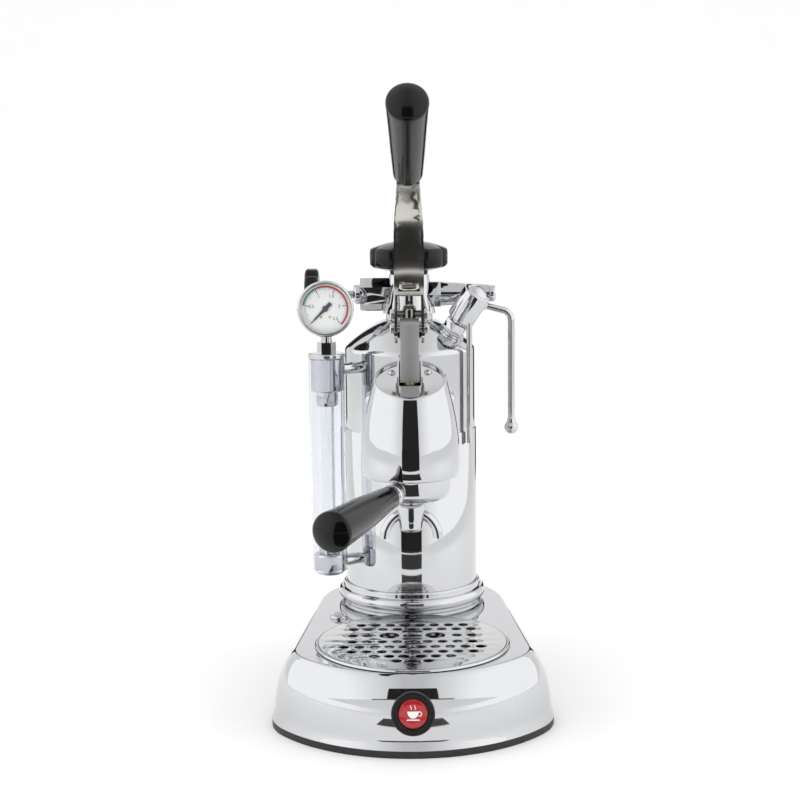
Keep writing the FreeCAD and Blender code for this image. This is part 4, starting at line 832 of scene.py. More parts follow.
def lobed(profile: list[Point2], lobes: int, depth: float, start: float, lift: Matrix, place: Matrix,
          segments: int = 240) -> Shape:
    """Turns a profile whose outer part has scalloped grips.

    Args:
        profile: (radius, height) points from the axis, round the outside, to the axis.
        lobes: how many grips.
        depth: how deep the hollow between two grips is.
        start: the radius from which the hollows deepen.
        lift: moves the profile along its own axis.
        place: where the piece goes.
        segments: how many steps go round.

    Returns:
        The shape.
    """
    outer = max(radius for radius, _ in profile)
    corners: list[Vector] = []
    faces: list[tuple[int, ...]] = []
    for radius, height in profile:
        for step in range(segments):
            turn = 2 * math.pi * step / segments
            wave = abs(math.cos(lobes * turn / 2))
            hollow = max(0.0, 1.0 - wave * 1.5) ** 1.3
            share = max(0.0, (radius - start) / (outer - start))
            reach = max(radius - depth * hollow * share, 0.0)
            corners.append(lift @ Vector((reach * math.cos(turn), reach * math.sin(turn), height)))
    for level in range(len(profile) - 1):
        for step in range(segments):
            after = (step + 1) % segments
            a, b = level * segments + step, level * segments + after
            faces.append((a, b, b + segments, a + segments))
    return Shape().add(corners, faces, place)


@dataclass
class SteamValve:
    """The steam valve: its block, gland, knob, outlet arm and wand."""

    y: float = 63.0
    z: float = 289.5

    def build(self) -> None:
        """Builds the fixed parts of the valve."""
        neck = Shape().lathe([(0, 270), (19.6, 270), (19.8, 275.3), (14.7, 305), (0, 305)],
                             Matrix.Translation((0, self.y, 0)), 96)
        block = Shape().prism(ring(12.41, 6, turn=0), 8, 37, place_at((0, self.y, self.z), Facing.LEFT))
        finish_piece("valve_body_fine", block, CHROME, "machine", ("valve_body",), bevel=0.5,
                     cutters=(neck,))
        gland = Shape().lathe([(3.05, 0), (7.5, 0), (7.5, 3.2), (6.3, 5), (3.05, 5)],
                              place_at((-37, self.y, self.z), Facing.LEFT), 64, soft=0.4)
        finish_piece("gland_nut_fine", gland, CHROME, "machine", ("gland_nut",))
        dress("valve_spindle", STEEL)
        nut = Shape().prism(ring(10.74, 6, turn=30), 8, 23.8, place_at((0, self.y, self.z), Facing.RIGHT))
        finish_piece("steam_arm_nut", nut, CHROME, "machine", (), bevel=0.6, cutters=(neck,))
        arm = Shape().lathe([(0, 22), (9.0, 22), (9.3, 23.8), (6.7, 60.3), (0, 60.3)],
                            place_at((0, self.y, self.z), Facing.RIGHT), 96, closed=False)
        finish_piece("steam_arm_fine", arm, CHROME, "machine", ("steam_arm",))
        end = Shape().lathe([(0, 60.3), (5.4, 60.3), (6.2, 61.1), (6.2, 64.1), (5.0, 65.3), (0, 65.3)],
                            place_at((0, self.y, self.z), Facing.RIGHT), 64, soft=0.5)
        finish_piece("arm_end_nut_fine", end, CHROME, "machine", ("arm_end_nut",))

    def dress(self) -> None:
        """Builds the knob and the steam wand."""
        profile = soften([(0, 0), (18, 0), (20, 1.6), (20, 9), (18, 10.4), (8, 11), (7, 20), (3, 20), (3, 11),
                          (0, 11)], 1.0, False)
        finish_piece("steam_knob_fine", lobed(profile, 6, 2.4, 12.0, Matrix.Identity(4), place_at(
            (-78.5, self.y, self.z), Facing.RIGHT)), BLACK, "steam_tap", ("steam_knob",), sharp=50)
        ball = Vector((56.0, self.y, 280.6))
        tip = Vector((77.3, self.y, 186.5))
        corner = Vector((77.3, self.y, ball.z - 0.27 * (tip.x - ball.x)))
        wand = Shape().tube(rounded_path([ball, corner, tip], 8.0), 2.6, 32)
        wand.lathe(sphere_line(4.2), Matrix.Translation(ball), 48, closed=False)
        wand.lathe(sphere_line(5.3) + [], Matrix.Translation(tip), 64, closed=False)
        wand.lathe([(0, 3.6), (3.7, 3.6), (3.0, 7.0), (2.6, 7.6), (0, 7.6)], Matrix.Translation(tip), 48,
                   soft=0.3, closed=False)
        finish_piece("steam_wand_fine", wand, CHROME, "wand", ("steam_wand",))


def sphere_line(radius: float, steps: int = 24) -> list[Point2]:
    """A half circle from the bottom of a ball to its top.

    Args:
        radius: the ball's radius.
        steps: how many short sides it has.

    Returns:
        (radius, height) points.
    """
    return [(radius * math.sin(math.pi * i / steps), -radius * math.cos(math.pi * i / steps))
            for i in range(steps + 1)]


def rounded_path(points: list[Vector], bend: float, steps: int = 16) -> list[Vector]:
    """A path whose corners are arcs.

    Args:
        points: the path's corners.
        bend: the radius of the arcs.
        steps: how many short sides each arc has.

    Returns:
        The points of the path.
    """
    path = [points[0]]
    for before, corner, after in zip(points, points[1:], points[2:]):
        coming = (corner - before).normalized()
        going = (after - corner).normalized()
        turn = coming.angle(going)
        setback = bend * math.tan(turn / 2)
        centre = corner + (going - coming).normalized() * (bend / math.cos(turn / 2))
        first = corner - coming * setback - centre
        axis = coming.cross(going).normalized()
        for step in range(steps + 1):
            path.append(centre + Matrix.Rotation(turn * step / steps, 3, axis) @ first)
    path.append(points[-1])
    return path


@dataclass
class SafetyValve:
    """The tilted safety valve with its hood and vent pipe."""

    vent: Point3 = (44.4, 33.5, 180.0)
    vent_top: float = 271.0

    @staticmethod
    def place() -> Matrix:
        """Where the valve stands on the boiler's shoulder.

        Returns:
            The placement; its upward axis leaves the boiler.
        """
        turn, tilt = math.radians(30), math.radians(35)
        direction = Vector((math.sin(tilt) * math.cos(turn), -math.sin(tilt) * math.sin(turn), math.cos(tilt)))
        return aimed((36 * math.cos(turn), 63 - 36 * math.sin(turn), 260.78), direction)

    def build(self) -> None:
        """Builds the nut, the hood and the vent pipe."""
        place = self.place()
        nut = Shape().lathe([(0, 1), (9.5, 1), (9.5, 2.8), (6, 2.8), (6, 17), (0, 17)], place, 96, soft=0.4,
                            closed=False)
        nut.prism(ring(9.58, 6, turn=12), 2.8, 11.8, place)
        finish_piece("relief_nut_fine", nut, CHROME, "machine", ("relief_nut",), bevel=0.5)
        hood = Shape().lathe([(6, 14.5), (10, 14.5), (10.8, 15.3), (10.8, 38.7), (10, 39.5), (8.2, 39.6)]
                             + arc((8, 39.7), (0, 43.5), 10.3, 16) + [(0, 17), (6, 17)], place, 128, soft=0.5)
        finish_piece("relief_hood_fine", hood, CHROME, "machine", ("relief_hood",))
        low, high = Vector(self.vent), Vector((self.vent[0], self.vent[1], self.vent_top))
        path = [low.lerp(high, step / 12) for step in range(13)]
        pipe = Shape().tube(path, 2.1, 32, bore=1.4)
        finish_piece("vent_pipe_fine", pipe, CHROME, "machine", ("vent_pipe",))


# ---------------------------------------------------------------- sight glass and gauge

@dataclass
class SightGlass:
    """The boiler's sight glass between its two fittings, in a clear guard."""

    x: float = -61.0
    y: float = 18.0
    low: float = 84.8
    high: float = 250.8

    def build(self) -> None:
        """Builds the fittings, nuts, glass and guard."""
        place = Matrix.Translation((self.x, self.y, 0))
        towards = Vector((self.x, self.y - 63, 0)).normalized()
        reach = math.hypot(self.x, self.y - 63)
        bottom = Shape().lathe([(0, 84.8), (9.4, 84.8), (11.9, 87.3), (11.9, 99.4), (11.1, 100.2), (0, 100.2)],
                               place, 96, soft=0.5, closed=False)
        top = Shape().lathe([(0, 222.6), (11.1, 222.6), (11.9, 223.4), (11.9, 246.9), (13.4, 247.3),
                             (13.4, 250.2), (12.6, 250.8), (0, 250.8)], place, 96, soft=0.5, closed=False)
        for shape, height, name, node in ((bottom, 92.5, "glass_bottom_fine", "glass_bottom_fitting"),
                                          (top, 237.7, "glass_top_fine", "glass_top_fitting")):
            start = Vector((0, 63, height)) + towards * 46.3
            end = Vector((0, 63, height)) + towards * (reach - 4)
            shape.tube([start, start.lerp(end, 0.5), end], 4.5, 32)
            finish_piece(name, shape, CHROME, "machine", (node,))
        nuts = Shape()
        for height in (100.2, 211.6):
            nuts.prism(ring(8.31, 6, turn=15), height + 0.05, height + 10.95, place)
        finish_piece("glass_nuts_fine", nuts, CHROME, "machine", ("glass_nuts",), bevel=0.5)
        tube = Shape().lathe([(3.6, 111.2), (4.8, 111.2), (4.8, 211.5), (3.6, 211.5)], place, 64)
        finish_piece("glass_tube_fine", tube, GLASS, "machine", ("glass_tube",))
        guard = Shape().lathe([(12.1, 88.2), (13.2, 88.2), (13.2, 246.7), (12.1, 246.7)], place, 96)
        cuts = []
        for height in (92.5, 237.7):
            start = Vector((0, 63, height)) + towards * 55
            end = Vector((0, 63, height)) + towards * (reach - 5)
            cuts.append(Shape().tube([start, start.lerp(end, 0.5), end], 4.65, 32))
        finish_piece("glass_guard_fine", guard, GUARD, "machine", ("glass_guard",), cutters=tuple(cuts))


@dataclass
class Gauge:
    """The round pressure gauge on top of the sight glass."""

    centre: Point3 = (-61.0, 10.5, 284.0)
    dial: float = 17.5
    zero: float = 225.0
    sweep: float = 270.0

    def build(self) -> None:
        """Builds the case, ring, lens and stem."""
        x, y, z = self.centre
        back = place_at((x, 26, z), Facing.FRONT)
        case = Shape().lathe([(0, 0), (16.6, 0), (19.6, 3), (19.6, 14.5), (17.2, 14.5), (17.2, 2), (0, 2)], back,
                             128, soft=0.8, closed=False)
        finish_piece("gauge_case_fine", case, CHROME, "machine", ("gauge_case",))
        bezel = Shape().lathe([(18.3, 14.5), (19.6, 14.5), (20.6, 15.1), (20.6, 17.8), (19.4, 19.2), (18.0, 19.2),
                               (17.5, 18.2), (18.3, 18.2)], back, 160, soft=0.5)
        finish_piece("gauge_bezel_fine", bezel, CHROME, "machine", ("gauge_bezel",))
        lens = Shape().lathe([(0, 17.25), (18.25, 17.25), (18.25, 18.15), (0, 18.15)], back, 96, closed=False)
        finish_piece("gauge_lens_fine", lens, GLASS, "machine", ("gauge_lens",))
        dress("gauge_stem", CHROME)

    def dress(self) -> None:
        """Builds the printed dial and the needle."""
        x, y, z = self.centre
        back = place_at((x, 26, z), Facing.FRONT)
        plate = Shape().lathe([(0.85, 14.5), (18.3, 14.5), (18.3, 15.5), (0.85, 15.5)], back, 96)
        finish_piece("gauge_dial_fine", plate, DIAL, "machine", ("gauge_dial",))
        ink = Shape()
        for tick in range(51):
            share = tick / 50
            length = 3.0 if tick % 10 == 0 else (2.2 if tick % 5 == 0 else 1.3)
            self.mark(ink, share, 15.4 - length, 15.4, 0.6 if tick % 10 == 0 else 0.26)
        finish_piece("dial_scale", ink, INK, "machine", ())
        for name, finish, first, last in (("dial_green", GREEN_INK, 0.2, 0.4), ("dial_red", RED_INK, 0.4, 1.0)):
            band = Shape()
            self.band(band, first, last, 15.4, 16.9)
            finish_piece(name, band, finish, "machine", ())
        for index, label in enumerate(("0", "0.5", "1", "1.5", "2", "2.5")):
            self.numeral(label, index / 5, 10.2, 3.4, f"dial_number{index}")
        needle = Shape()
        flat = [(-5.6, -1.5), (1.5, -1.2), (13.6, -0.28), (13.6, 0.28), (1.5, 1.2), (-5.6, 1.5)]
        turn = Matrix.Translation((x, 0, z)) @ Matrix.Rotation(math.radians(90), 4, "X")
        needle.prism(flat, -10.15, -9.6, turn @ Matrix.Rotation(math.radians(self.zero), 4, "Z"))
        needle.lathe([(0, 15.9), (2.2, 15.9), (2.2, 16.6), (0, 16.9)], back, 48, closed=False)
        finish_piece("gauge_needle_fine", needle, INK, "pointer", ("gauge_needle",))
        screws = Shape()
        for side in (-1, 1):
            screws.lathe([(0, 15.5), (0.9, 15.5), (0.9, 15.9), (0, 16.1)],
                         place_at((x + side * 3.2, 26, z - 6.2), Facing.FRONT), 24, closed=False)
        finish_piece("dial_screws", screws, BRASS, "machine", ())

    def direction(self, share: float) -> float:
        """The angle of a reading.

        Args:
            share: the reading, as a share of the full scale.

        Returns:
            The angle from the right, counter-clockwise, in radians.
        """
        return math.radians(self.zero - self.sweep * share)

    def mark(self, shape: Shape, share: float, inner: float, outer: float, width: float) -> None:
        """Adds one line of the scale.

        Args:
            shape: the shape that gets the line.
            share: where on the scale it is.
            inner: its inner radius.
            outer: its outer radius.
            width: its width.
        """
        x, y, z = self.centre
        turn = self.direction(share)
        along = Vector((math.cos(turn), 0, math.sin(turn)))
        across = Vector((-math.sin(turn), 0, math.cos(turn))) * width / 2
        centre = Vector((x, y - 0.05, z))
        corners = [centre + along * inner - across, centre + along * outer - across,
                   centre + along * outer + across, centre + along * inner + across]
        shape.add(corners, [(0, 1, 2, 3)])

    def band(self, shape: Shape, first: float, last: float, inner: float, outer: float) -> None:
        """Adds a coloured band of the scale.

        Args:
            shape: the shape that gets the band.
            first: where it starts on the scale.
            last: where it ends.
            inner: its inner radius.
            outer: its outer radius.
        """
        x, y, z = self.centre
        steps = 48
        corners = []
        for step in range(steps + 1):
            turn = self.direction(first + (last - first) * step / steps)
            for radius in (inner, outer):
                corners.append(Vector((x + radius * math.cos(turn), y - 0.05, z + radius * math.sin(turn))))
        shape.add(corners, [(2 * i, 2 * i + 1, 2 * i + 3, 2 * i + 2) for i in range(steps)])

    def numeral(self, label: str, share: float, radius: float, size: float, name: str) -> None:
        """Adds one number of the scale.

        Args:
            label: the number.
            share: where on the scale it is.
            radius: its distance from the dial's centre.
            size: its height.
            name: the piece's name.
        """
        x, y, z = self.centre
        turn = self.direction(share)
        text = bpy.data.curves.new(name, "FONT")
        text.body = label
        text.size = size
        text.align_x = "CENTER"
        text.align_y = "CENTER"
        carrier = bpy.data.objects.new(name, text)
        mesh = bpy.data.meshes.new_from_object(carrier)
        place = Matrix.Translation((x + radius * math.cos(turn), y - 0.06, z + radius * math.sin(turn)))
        shape = Shape().add([v.co for v in mesh.vertices], [tuple(face.vertices) for face in mesh.polygons],
                            place @ Matrix.Rotation(math.radians(90), 4, "X"))
        bpy.data.objects.remove(carrier)
        finish_piece(name, shape, INK, "machine", ())


# ---------------------------------------------------------------- group, lever and portafilter

@dataclass
class Group:
    """The group: its bell with the sloping cover, its post and flange, and the piston inside."""

    y: float = -48.0
    cover_height: float = 241.7
    slope: float = math.tan(math.radians(22.3))
    wall: float = 1.5
    line: tuple[Point2, ...] = ((33.7, 172.3), (34.9, 178.0), (27.7, 231.0), (19.6, 261.0))

    def outer_line(self) -> list[Point2]:
        """The bell's outer line, from its rim up.

        Returns:
            (radius, height) points.
        """
        rim, waist, shoulder, top = self.line
        return arc(rim, waist, 16, 8) + arc(waist, shoulder, 190, 40)[1:] + arc(shoulder, top, 400, 12)[1:]

    def radius_at(self, height: float) -> float:
        """The bell's outer radius at a height.

        Args:
            height: the height.

        Returns:
            The radius.
        """
        line = self.outer_line()
        for (r0, z0), (r1, z1) in zip(line, line[1:]):
            if z0 <= height <= z1:
                return r0 + (r1 - r0) * (height - z0) / (z1 - z0)
        return line[-1][0]

    def top_at(self, radius: float, turn: float, drop: float = 0.0) -> float:
        """The height of the sloping top.

        Args:
            radius: distance from the group's axis.
            turn: the angle round the axis, in radians.
            drop: how far under the rim.

        Returns:
            The height.
        """
        return self.cover_height + self.slope * radius * math.sin(turn) - drop

    def bell(self) -> Shape:
        """The bell, cut off on a slope, with a rolled lower rim.

        Returns:
            The shape.
        """
        segments, levels = 224, 56
        corners: list[Vector] = []
        for step in range(segments):
            turn = 2 * math.pi * step / segments
            top = self.cover_height
            for _ in range(12):
                top = self.top_at(self.radius_at(top), turn)
            column: list[Point2] = []
            for level in range(levels + 1):
                height = 173.0 + (top - 0.25 - 173.0) * level / levels
                column.append((self.radius_at(height), height))
            reach = self.radius_at(top)
            inner_top = self.top_at(reach - self.wall, turn)
            column.append((reach - 0.2, top))
            column.append((reach - self.wall + 0.2, inner_top))
            for level in range(levels, -1, -1):
                height = 173.0 + (inner_top - 0.25 - 173.0) * level / levels
                column.append((self.radius_at(height) - self.wall, height))
            column.append((32.6, 172.5))
            column.append((33.0, 172.3))
            column.append((33.5, 172.4))
            for radius, height in column:
                corners.append(Vector((radius * math.cos(turn), self.y + radius * math.sin(turn), height)))
        stride = len(corners) // segments
        faces = []
        for step in range(segments):
            after = (step + 1) % segments
            for level in range(stride):
                up = (level + 1) % stride
                faces.append((step * stride + level, after * stride + level, after * stride + up,
                              step * stride + up))
        return Shape().add(corners, faces)

    def build(self) -> None:
        """Builds the bell, cover, post and flange."""
        slot = Shape().prism([(-7.8, -35), (7.8, -35), (7.8, 0), (-7.8, 0)], 150, 217.51)
        arch = Shape().add(*rod((0, self.y + 15, 217.5), (0, self.y + 45, 217.5), 7.8))
        post = Shape().prism([(-5.6, -35), (5.6, -35), (5.6, 0), (-5.6, 0)], 234.7, 290)
        finish_piece("bell_fine", self.bell(), CHROME, "machine", ("bell",), sharp=45,
                     cutters=(slot, arch, post))
        finish_piece("bell_cover_fine", self.cover(), CHROME, "machine", ("bell_cover",), sharp=30)
        self.screws()
        body = Shape()
        body.prism(flange_outline(), -10, -4.05, Matrix.Translation((0, 0, 217.5)) @ TURNS[Facing.FRONT])
        finish_piece("group_flange", body, CHROME, "machine", (), bevel=0.8)
        body = Shape().add(*rod((0, self.y + 25, 217.5), (0, 5, 217.5), 7.5))
        body.lathe([(24, 181), (27.6, 181), (27.6, 176.4), (30.9, 176.4), (30.9, 173.7), (28.75, 173.7),
                    (28.75, 172.5), (31.4, 172.5), (31.4, 184), (26.5, 184), (26.5, 224), (24.5, 226), (8.5, 226),
                    (8.5, 228.5), (5.05, 228.5), (5.05, 221.5), (24, 221.5)],
                   Matrix.Translation((0, self.y, 0)), 128, soft=0.4)
        body.lathe([(0, 225), (5.0, 225), (5.0, 286), (4.6, 288.2), (3.2, 289.8), (0, 290.2)],
                   Matrix.Translation((0, -30, 0)), 64, closed=False)
        finish_piece("group_body_fine", body, CHROME, "machine", ("group_body",), sharp=45)
        bolts = Shape()
        for side in (-1, 1):
            bolts.lathe([(0, 4.4), (2.6, 4.4), (4.8, 2.6), (5.2, 0), (0, 0)][::-1],
                        place_at((28 * side, 4, 217.5), Facing.FRONT), 64, soft=0.7, closed=False)
        finish_piece("group_bolts_fine", bolts, CHROME, "machine", ("group_bolts",))
        for node in ("group_gasket", "piston_seals"):
            dress(node, RUBBER)
        dress("piston", BRASS)
        dress("shower_screen", STEEL)

    def cover(self) -> Shape:
        """The sloping cover with its channel and lips.

        Returns:
            The shape.
        """
        shape = Shape()
        tilt = math.radians(22.3)
        lay = Matrix.Translation((0, self.y, self.cover_height)) @ Matrix.Rotation(tilt, 4, "X")
        outline = []
        for step in range(160):
            turn = 2 * math.pi * step / 160
            height = self.cover_height
            for _ in range(8):
                height = self.top_at(self.radius_at(height) - self.wall, turn, 2.2)
            reach = self.radius_at(height) - self.wall - 0.02
            outline.append((reach * math.cos(turn), reach * math.sin(turn) / math.cos(tilt)))
        right = [(x, y) for x, y in outline if x > 7.6]
        for side in (1, -1):
            half = [(x * side, y) for x, y in sorted(right, key=lambda p: p[1])]
            edge = [(7.6 * side, half[-1][1]), (7.6 * side, half[0][1])]
            loop = half + edge
            shape.prism(loop if side > 0 else loop[::-1], -3.6, -2.0, lay)
            inner, outer = 7.6 * side, 8.8 * side
            lip = [(inner, half[0][1] + 0.4), (outer, half[0][1] + 0.9), (outer, half[-1][1] - 0.6),
                   (inner, half[-1][1] - 0.2)]
            shape.prism(lip if side > 0 else lip[::-1], -2.05, 0.6, lay)
        front = min(y for _, y in outline)
        floor = [(-7.62, front + 1.5), (-4, front + 0.4), (0, front + 0.1), (4, front + 0.4), (7.62, front + 1.5),
                 (7.62, -9.8), (-7.62, -9.8)]
        shape.prism(floor, -3.6, -2.0, lay)
        return shape

    def screws(self) -> None:
        """Builds the cover's two slotted screws."""
        tilt = math.radians(22.3)
        lay = Matrix.Translation((0, self.y, self.cover_height)) @ Matrix.Rotation(tilt, 4, "X")
        heads = Shape()
        cuts = Shape()
        for side in (-1, 1):
            spot = lay @ Matrix.Translation((12.8 * side, 8.5, -2.0))
            heads.lathe([(0, 0), (2.7, 0), (2.6, 0.6), (2.0, 1.3), (1.0, 1.75), (0, 1.85)], spot, 48, closed=False)
            cuts.prism([(-3.2, -0.35), (3.2, -0.35), (3.2, 0.35), (-3.2, 0.35)], 1.0, 3.0,
                       spot @ Matrix.Rotation(0.6 * side, 4, "Z"))
        finish_piece("cover_screws_fine", heads, CHROME, "machine", ("cover_screws",),
                     cutters=(cuts,))


def rod(start: Point3, end: Point3, radius: float, segments: int = 48) -> tuple[list[Vector], list[tuple[int, ...]]]:
    """A straight round rod.

    Args:
        start: one end.
        end: the other end.
        radius: its radius.
        segments: how many steps go round.

    Returns:
        Its corners and faces.
    """
    shape = Shape().tube([Vector(start), Vector(start).lerp(Vector(end), 0.5), Vector(end)], radius, segments)
    return shape.corners, shape.faces


@dataclass
class Lever:
    """The lever: its curved arm with fork and channel, its pins, link and grip."""

    fulcrum: Point2 = (-30.0, 283.4)
    rod_pin: Point2 = (-48.0, 275.3)
    width: float = 20.5
    neck: float = 15.0
    bend: float = 100.3
    grip_base: Point2 = (-87.83, 382.07)
    grip_tilt: float = 30.0

    def outline(self) -> list[Point2]:
        """The arm's side outline.

        Returns:
            (depth, height) points, counter-clockwise.
        """
        y, z = self.fulcrum
        at = [(-27.5, -9.4), (-18, -18.4), (3, -10.4), (9.5, 1.6), (9, 12.6), (-53.79, 105.6), (-61.81, 91.7),
              (-28, 16.6)]
        p = [(y + a, z + b) for a, b in at]
        return (arc(p[0], p[1], 9.5, 16) + arc(p[2], p[3], 12, 16) + arc(p[4], p[5], 110, 64)
                + arc(p[6], p[7], -self.bend, 64))

    def half_width(self, height: float) -> float:
        """Half the arm's width at a height.

        Args:
            height: the height.

        Returns:
            Half the width.
        """
        share = min(max((height - 339.4) / 40.0, 0.0), 1.0)
        share = share * share * (3 - 2 * share)
        return self.width / 2 + (self.neck - self.width) / 2 * share

    def build(self) -> None:
        """Builds the arm, pins and link."""
        outline = self.outline()
        count = len(outline)
        corners = []
        for side in (-1, 1):
            corners += [Vector((side * self.half_width(z), y, z)) for y, z in outline]
        faces = [tuple(range(count)), tuple(reversed(range(count, 2 * count)))]
        for step in range(count):
            after = (step + 1) % count
            faces.append((step, count + step, count + after, after))
        arm = Shape().add(corners, faces)
        fork = Shape().prism([(-8.3, -120), (8.3, -120), (8.3, 20), (-8.3, 20)], 200, 298.4)
        finish_piece("lever_arm_fine", arm, NICKEL, "lever", ("lever_arm",), sharp=32, bevel=0.9,
                     cutters=(fork, self.channel(), self.recess()))
        for name, node, (y, z), radius, head in (
            ("fulcrum_pin_fine", "fulcrum_pin", self.fulcrum, 3.0, 3.8),
            ("rod_pin_fine", "rod_pin", self.rod_pin, 2.5, 3.4),
        ):
            pin = Shape().lathe([(0, -13.65), (head - 0.7, -13.65), (head, -13), (head, -10.25), (radius, -10.25),
                                 (radius, 10.25), (head, 10.25), (head, 13), (head - 0.7, 13.65), (0, 13.65)],
                                place_at((0, y, z), Facing.RIGHT), 64, soft=0.4, closed=False)
            finish_piece(name, pin, CHROME, "lever", (node,))
        link = Shape().prism([(-54.6, 238), (-41.4, 238), (-41.4, 259.3), (-37.5, 266.3), (-37.5, 278.6),
                              (-40.5, 281.6), (-53, 281.6), (-55, 279.6), (-55, 266.3), (-54.6, 259.3)], -6.7, 6.7,
                             Matrix(((0, 0, 1, 0), (1, 0, 0, 0), (0, 1, 0, 0), (0, 0, 0, 1))))
        eye = Shape().prism([(-52.6, 271.3), (-39.2, 271.3), (-39.2, 279.3), (-52.6, 279.3)], -9, 9,
                            Matrix(((0, 0, 1, 0), (1, 0, 0, 0), (0, 1, 0, 0), (0, 0, 0, 1))))
        finish_piece("lever_link_fine", link, SATIN, "piston_rod", ("lever_link",), bevel=0.8,
                     cutters=(eye,))

    def channel(self) -> Shape:
        """The shallow channel down the arm's front.

        Returns:
            The shape that is taken out.
        """
        y = self.fulcrum[0] - 28 - self.bend
        z = self.fulcrum[1] + 16.6
        corners: list[Vector] = []
        steps = 96
        radius = self.bend + 2.2
        for side in (-1, 1):
            for step in range(steps + 1):
                turn = math.radians(-20 + 100 * step / steps)
                edge = Vector((0, y + radius * math.cos(turn), z + radius * math.sin(turn)))
                edge.x = side * (self.half_width(edge.z) - 2.1)
                base = Vector((edge.x, y + 60 * math.cos(turn), z + 60 * math.sin(turn)))
                corners += [edge, base]
        row = 2 * (steps + 1)
        faces = []
        for step in range(steps):
            a, b, c, e = 2 * step, 2 * step + 1, 2 * step + 3, 2 * step + 2
            faces += [(a, b, c, e), (row + e, row + c, row + b, row + a), (a, e, row + e, row + a),
                      (b, row + b, row + c, c)]
        faces += [(0, row, row + 1, 1), (row - 2, row - 1, 2 * row - 1, 2 * row - 2)]
        return Shape().add(corners, faces)

    def recess(self) -> Shape:
        """The oval hollow just above the fork.

        Returns:
            The shape that is taken out.
        """
        y = self.fulcrum[0] - 28 + 2.2
        hollow = Shape().lathe(sphere_line(5.4), None, 48, closed=False)
        for corner in hollow.corners:
            corner.x *= 1.3
            corner.y = y + corner.y * 0.2
            corner.z = 304.5 + corner.z * 0.5
        return hollow

    def dress(self) -> None:
        """Builds the grip."""
        tilt = math.radians(self.grip_tilt)
        direction = Vector((0, -math.cos(tilt), math.sin(tilt)))
        foot = [(0, 0), (8.2, 0), (9.1, 0.4), (9.7, 1.2)]
        side = curve([(10.0, 2.4), (11.2, 30), (12.2, 58), (13.5, 88.5)], 8)
        end = arc((13.5, 88.5), (11.8, 91.6), 3.4, 8)[1:] + arc((11.8, 91.6), (0, 96), 26.0, 16)[1:]
        grip = Shape().lathe(foot + side + end, aimed((0, *self.grip_base), direction), 128, closed=False)
        finish_piece("lever_grip_fine", grip, BLACK, "lever", ("lever_grip",))


@dataclass
class Portafilter:
    """The portafilter: cup, basket, ferrule, grip and double spout."""

    y: float = -48.0
    turn: float = 22.5
    droop: float = 2.3
    height: float = 163.3

    def build(self) -> None:
        """Builds the cup and the spout."""
        place = Matrix.Translation((0, self.y, 0))
        cup = Shape().lathe([(3, 155.5), (20.4, 155.5)] + arc((20.4, 155.5), (28.4, 163.1), 8.4, 12)[1:]
                            + [(28.4, 176), (25.8, 176)] + arc((25.8, 164.1), (19.8, 158.5), -6.4, 8)
                            + [(3, 158.5)], place, 160, soft=0.25)
        for start in (-15, 165):
            sector = [(30.6 * math.cos(math.radians(start + i * 2.5)), 30.6 * math.sin(math.radians(start + i * 2.5)))
                      for i in range(13)]
            inner = [(27 * math.cos(math.radians(start + i * 2.5)), 27 * math.sin(math.radians(start + i * 2.5)))
                     for i in range(12, -1, -1)]
            cup.prism(sector + inner, 174, 176, place)
        cup.tube([self.along(26.5), self.along(28.5), self.along(31)], 6.5, 48)
        finish_piece("filter_cup_fine", cup, CHROME, "portafilter", ("filter_cup",))
        dress("filter_basket", STEEL)
        ferrule = Shape().lathe([(4, 0), (7.2, 0), (8, 1), (8, 3.4), (7.4, 4.4), (7.4, 8), (4, 8)], self.aim(31), 96,
                                soft=0.4)
        finish_piece("ferrule_fine", ferrule, CHROME, "portafilter", ("ferrule",))
        self.spout(place)

    def along(self, reach: float) -> Vector:
        """A point on the handle's axis.

        Args:
            reach: the distance from the group's axis.

        Returns:
            The point.
        """
        turn = math.radians(self.turn)
        return Vector((-reach * math.sin(turn), self.y - reach * math.cos(turn),
                       self.height - (reach - 36) * math.tan(math.radians(self.droop))))

    def aim(self, reach: float) -> Matrix:
        """A placement on the handle's axis that points away from the cup.

        Args:
            reach: the distance from the group's axis.

        Returns:
            The placement.
        """
        return aimed(tuple(self.along(reach)), (self.along(100) - self.along(0)).normalized())

    def spout(self, place: Matrix) -> None:
        """Builds the double spout.

        Args:
            place: the group's axis.
        """
        boss = Shape().lathe([(0, 131.6), (5.5, 131.6)] + arc((5.5, 131.6), (8.7, 135), 4, 8)[1:]
                             + [(9.7, 149.5), (8.7, 151.5), (6, 151.5), (6, 155.45), (0, 155.45)], place, 96,
                             soft=0.5, closed=False)
        path = [Vector((18.9 * math.cos(math.pi * i / 48), self.y, 126.6 + 18.9 * math.sin(math.pi * i / 48)))
                for i in range(49)]
        boss.tube(path, 3.5, 40, bore=2.3)
        finish_piece("double_spout_fine", boss, CHROME, "portafilter", ("double_spout",))

    def dress(self) -> None:
        """Builds the grip."""
        side = curve([(8, 0.8), (9.7, 22), (11.4, 44.6), (13.6, 91.5)], 8)
        end = arc((13.6, 91.5), (12.0, 94.6), 3.4, 8)[1:] + arc((12.0, 94.6), (0, 99), 26.0, 16)[1:]
        grip = Shape().lathe([(0, 0), (7.4, 0)] + side + end, self.aim(39), 128, closed=False)
        finish_piece("filter_grip_fine", grip, BLACK, "portafilter", ("filter_grip",))


# ---------------------------------------------------------------- studio

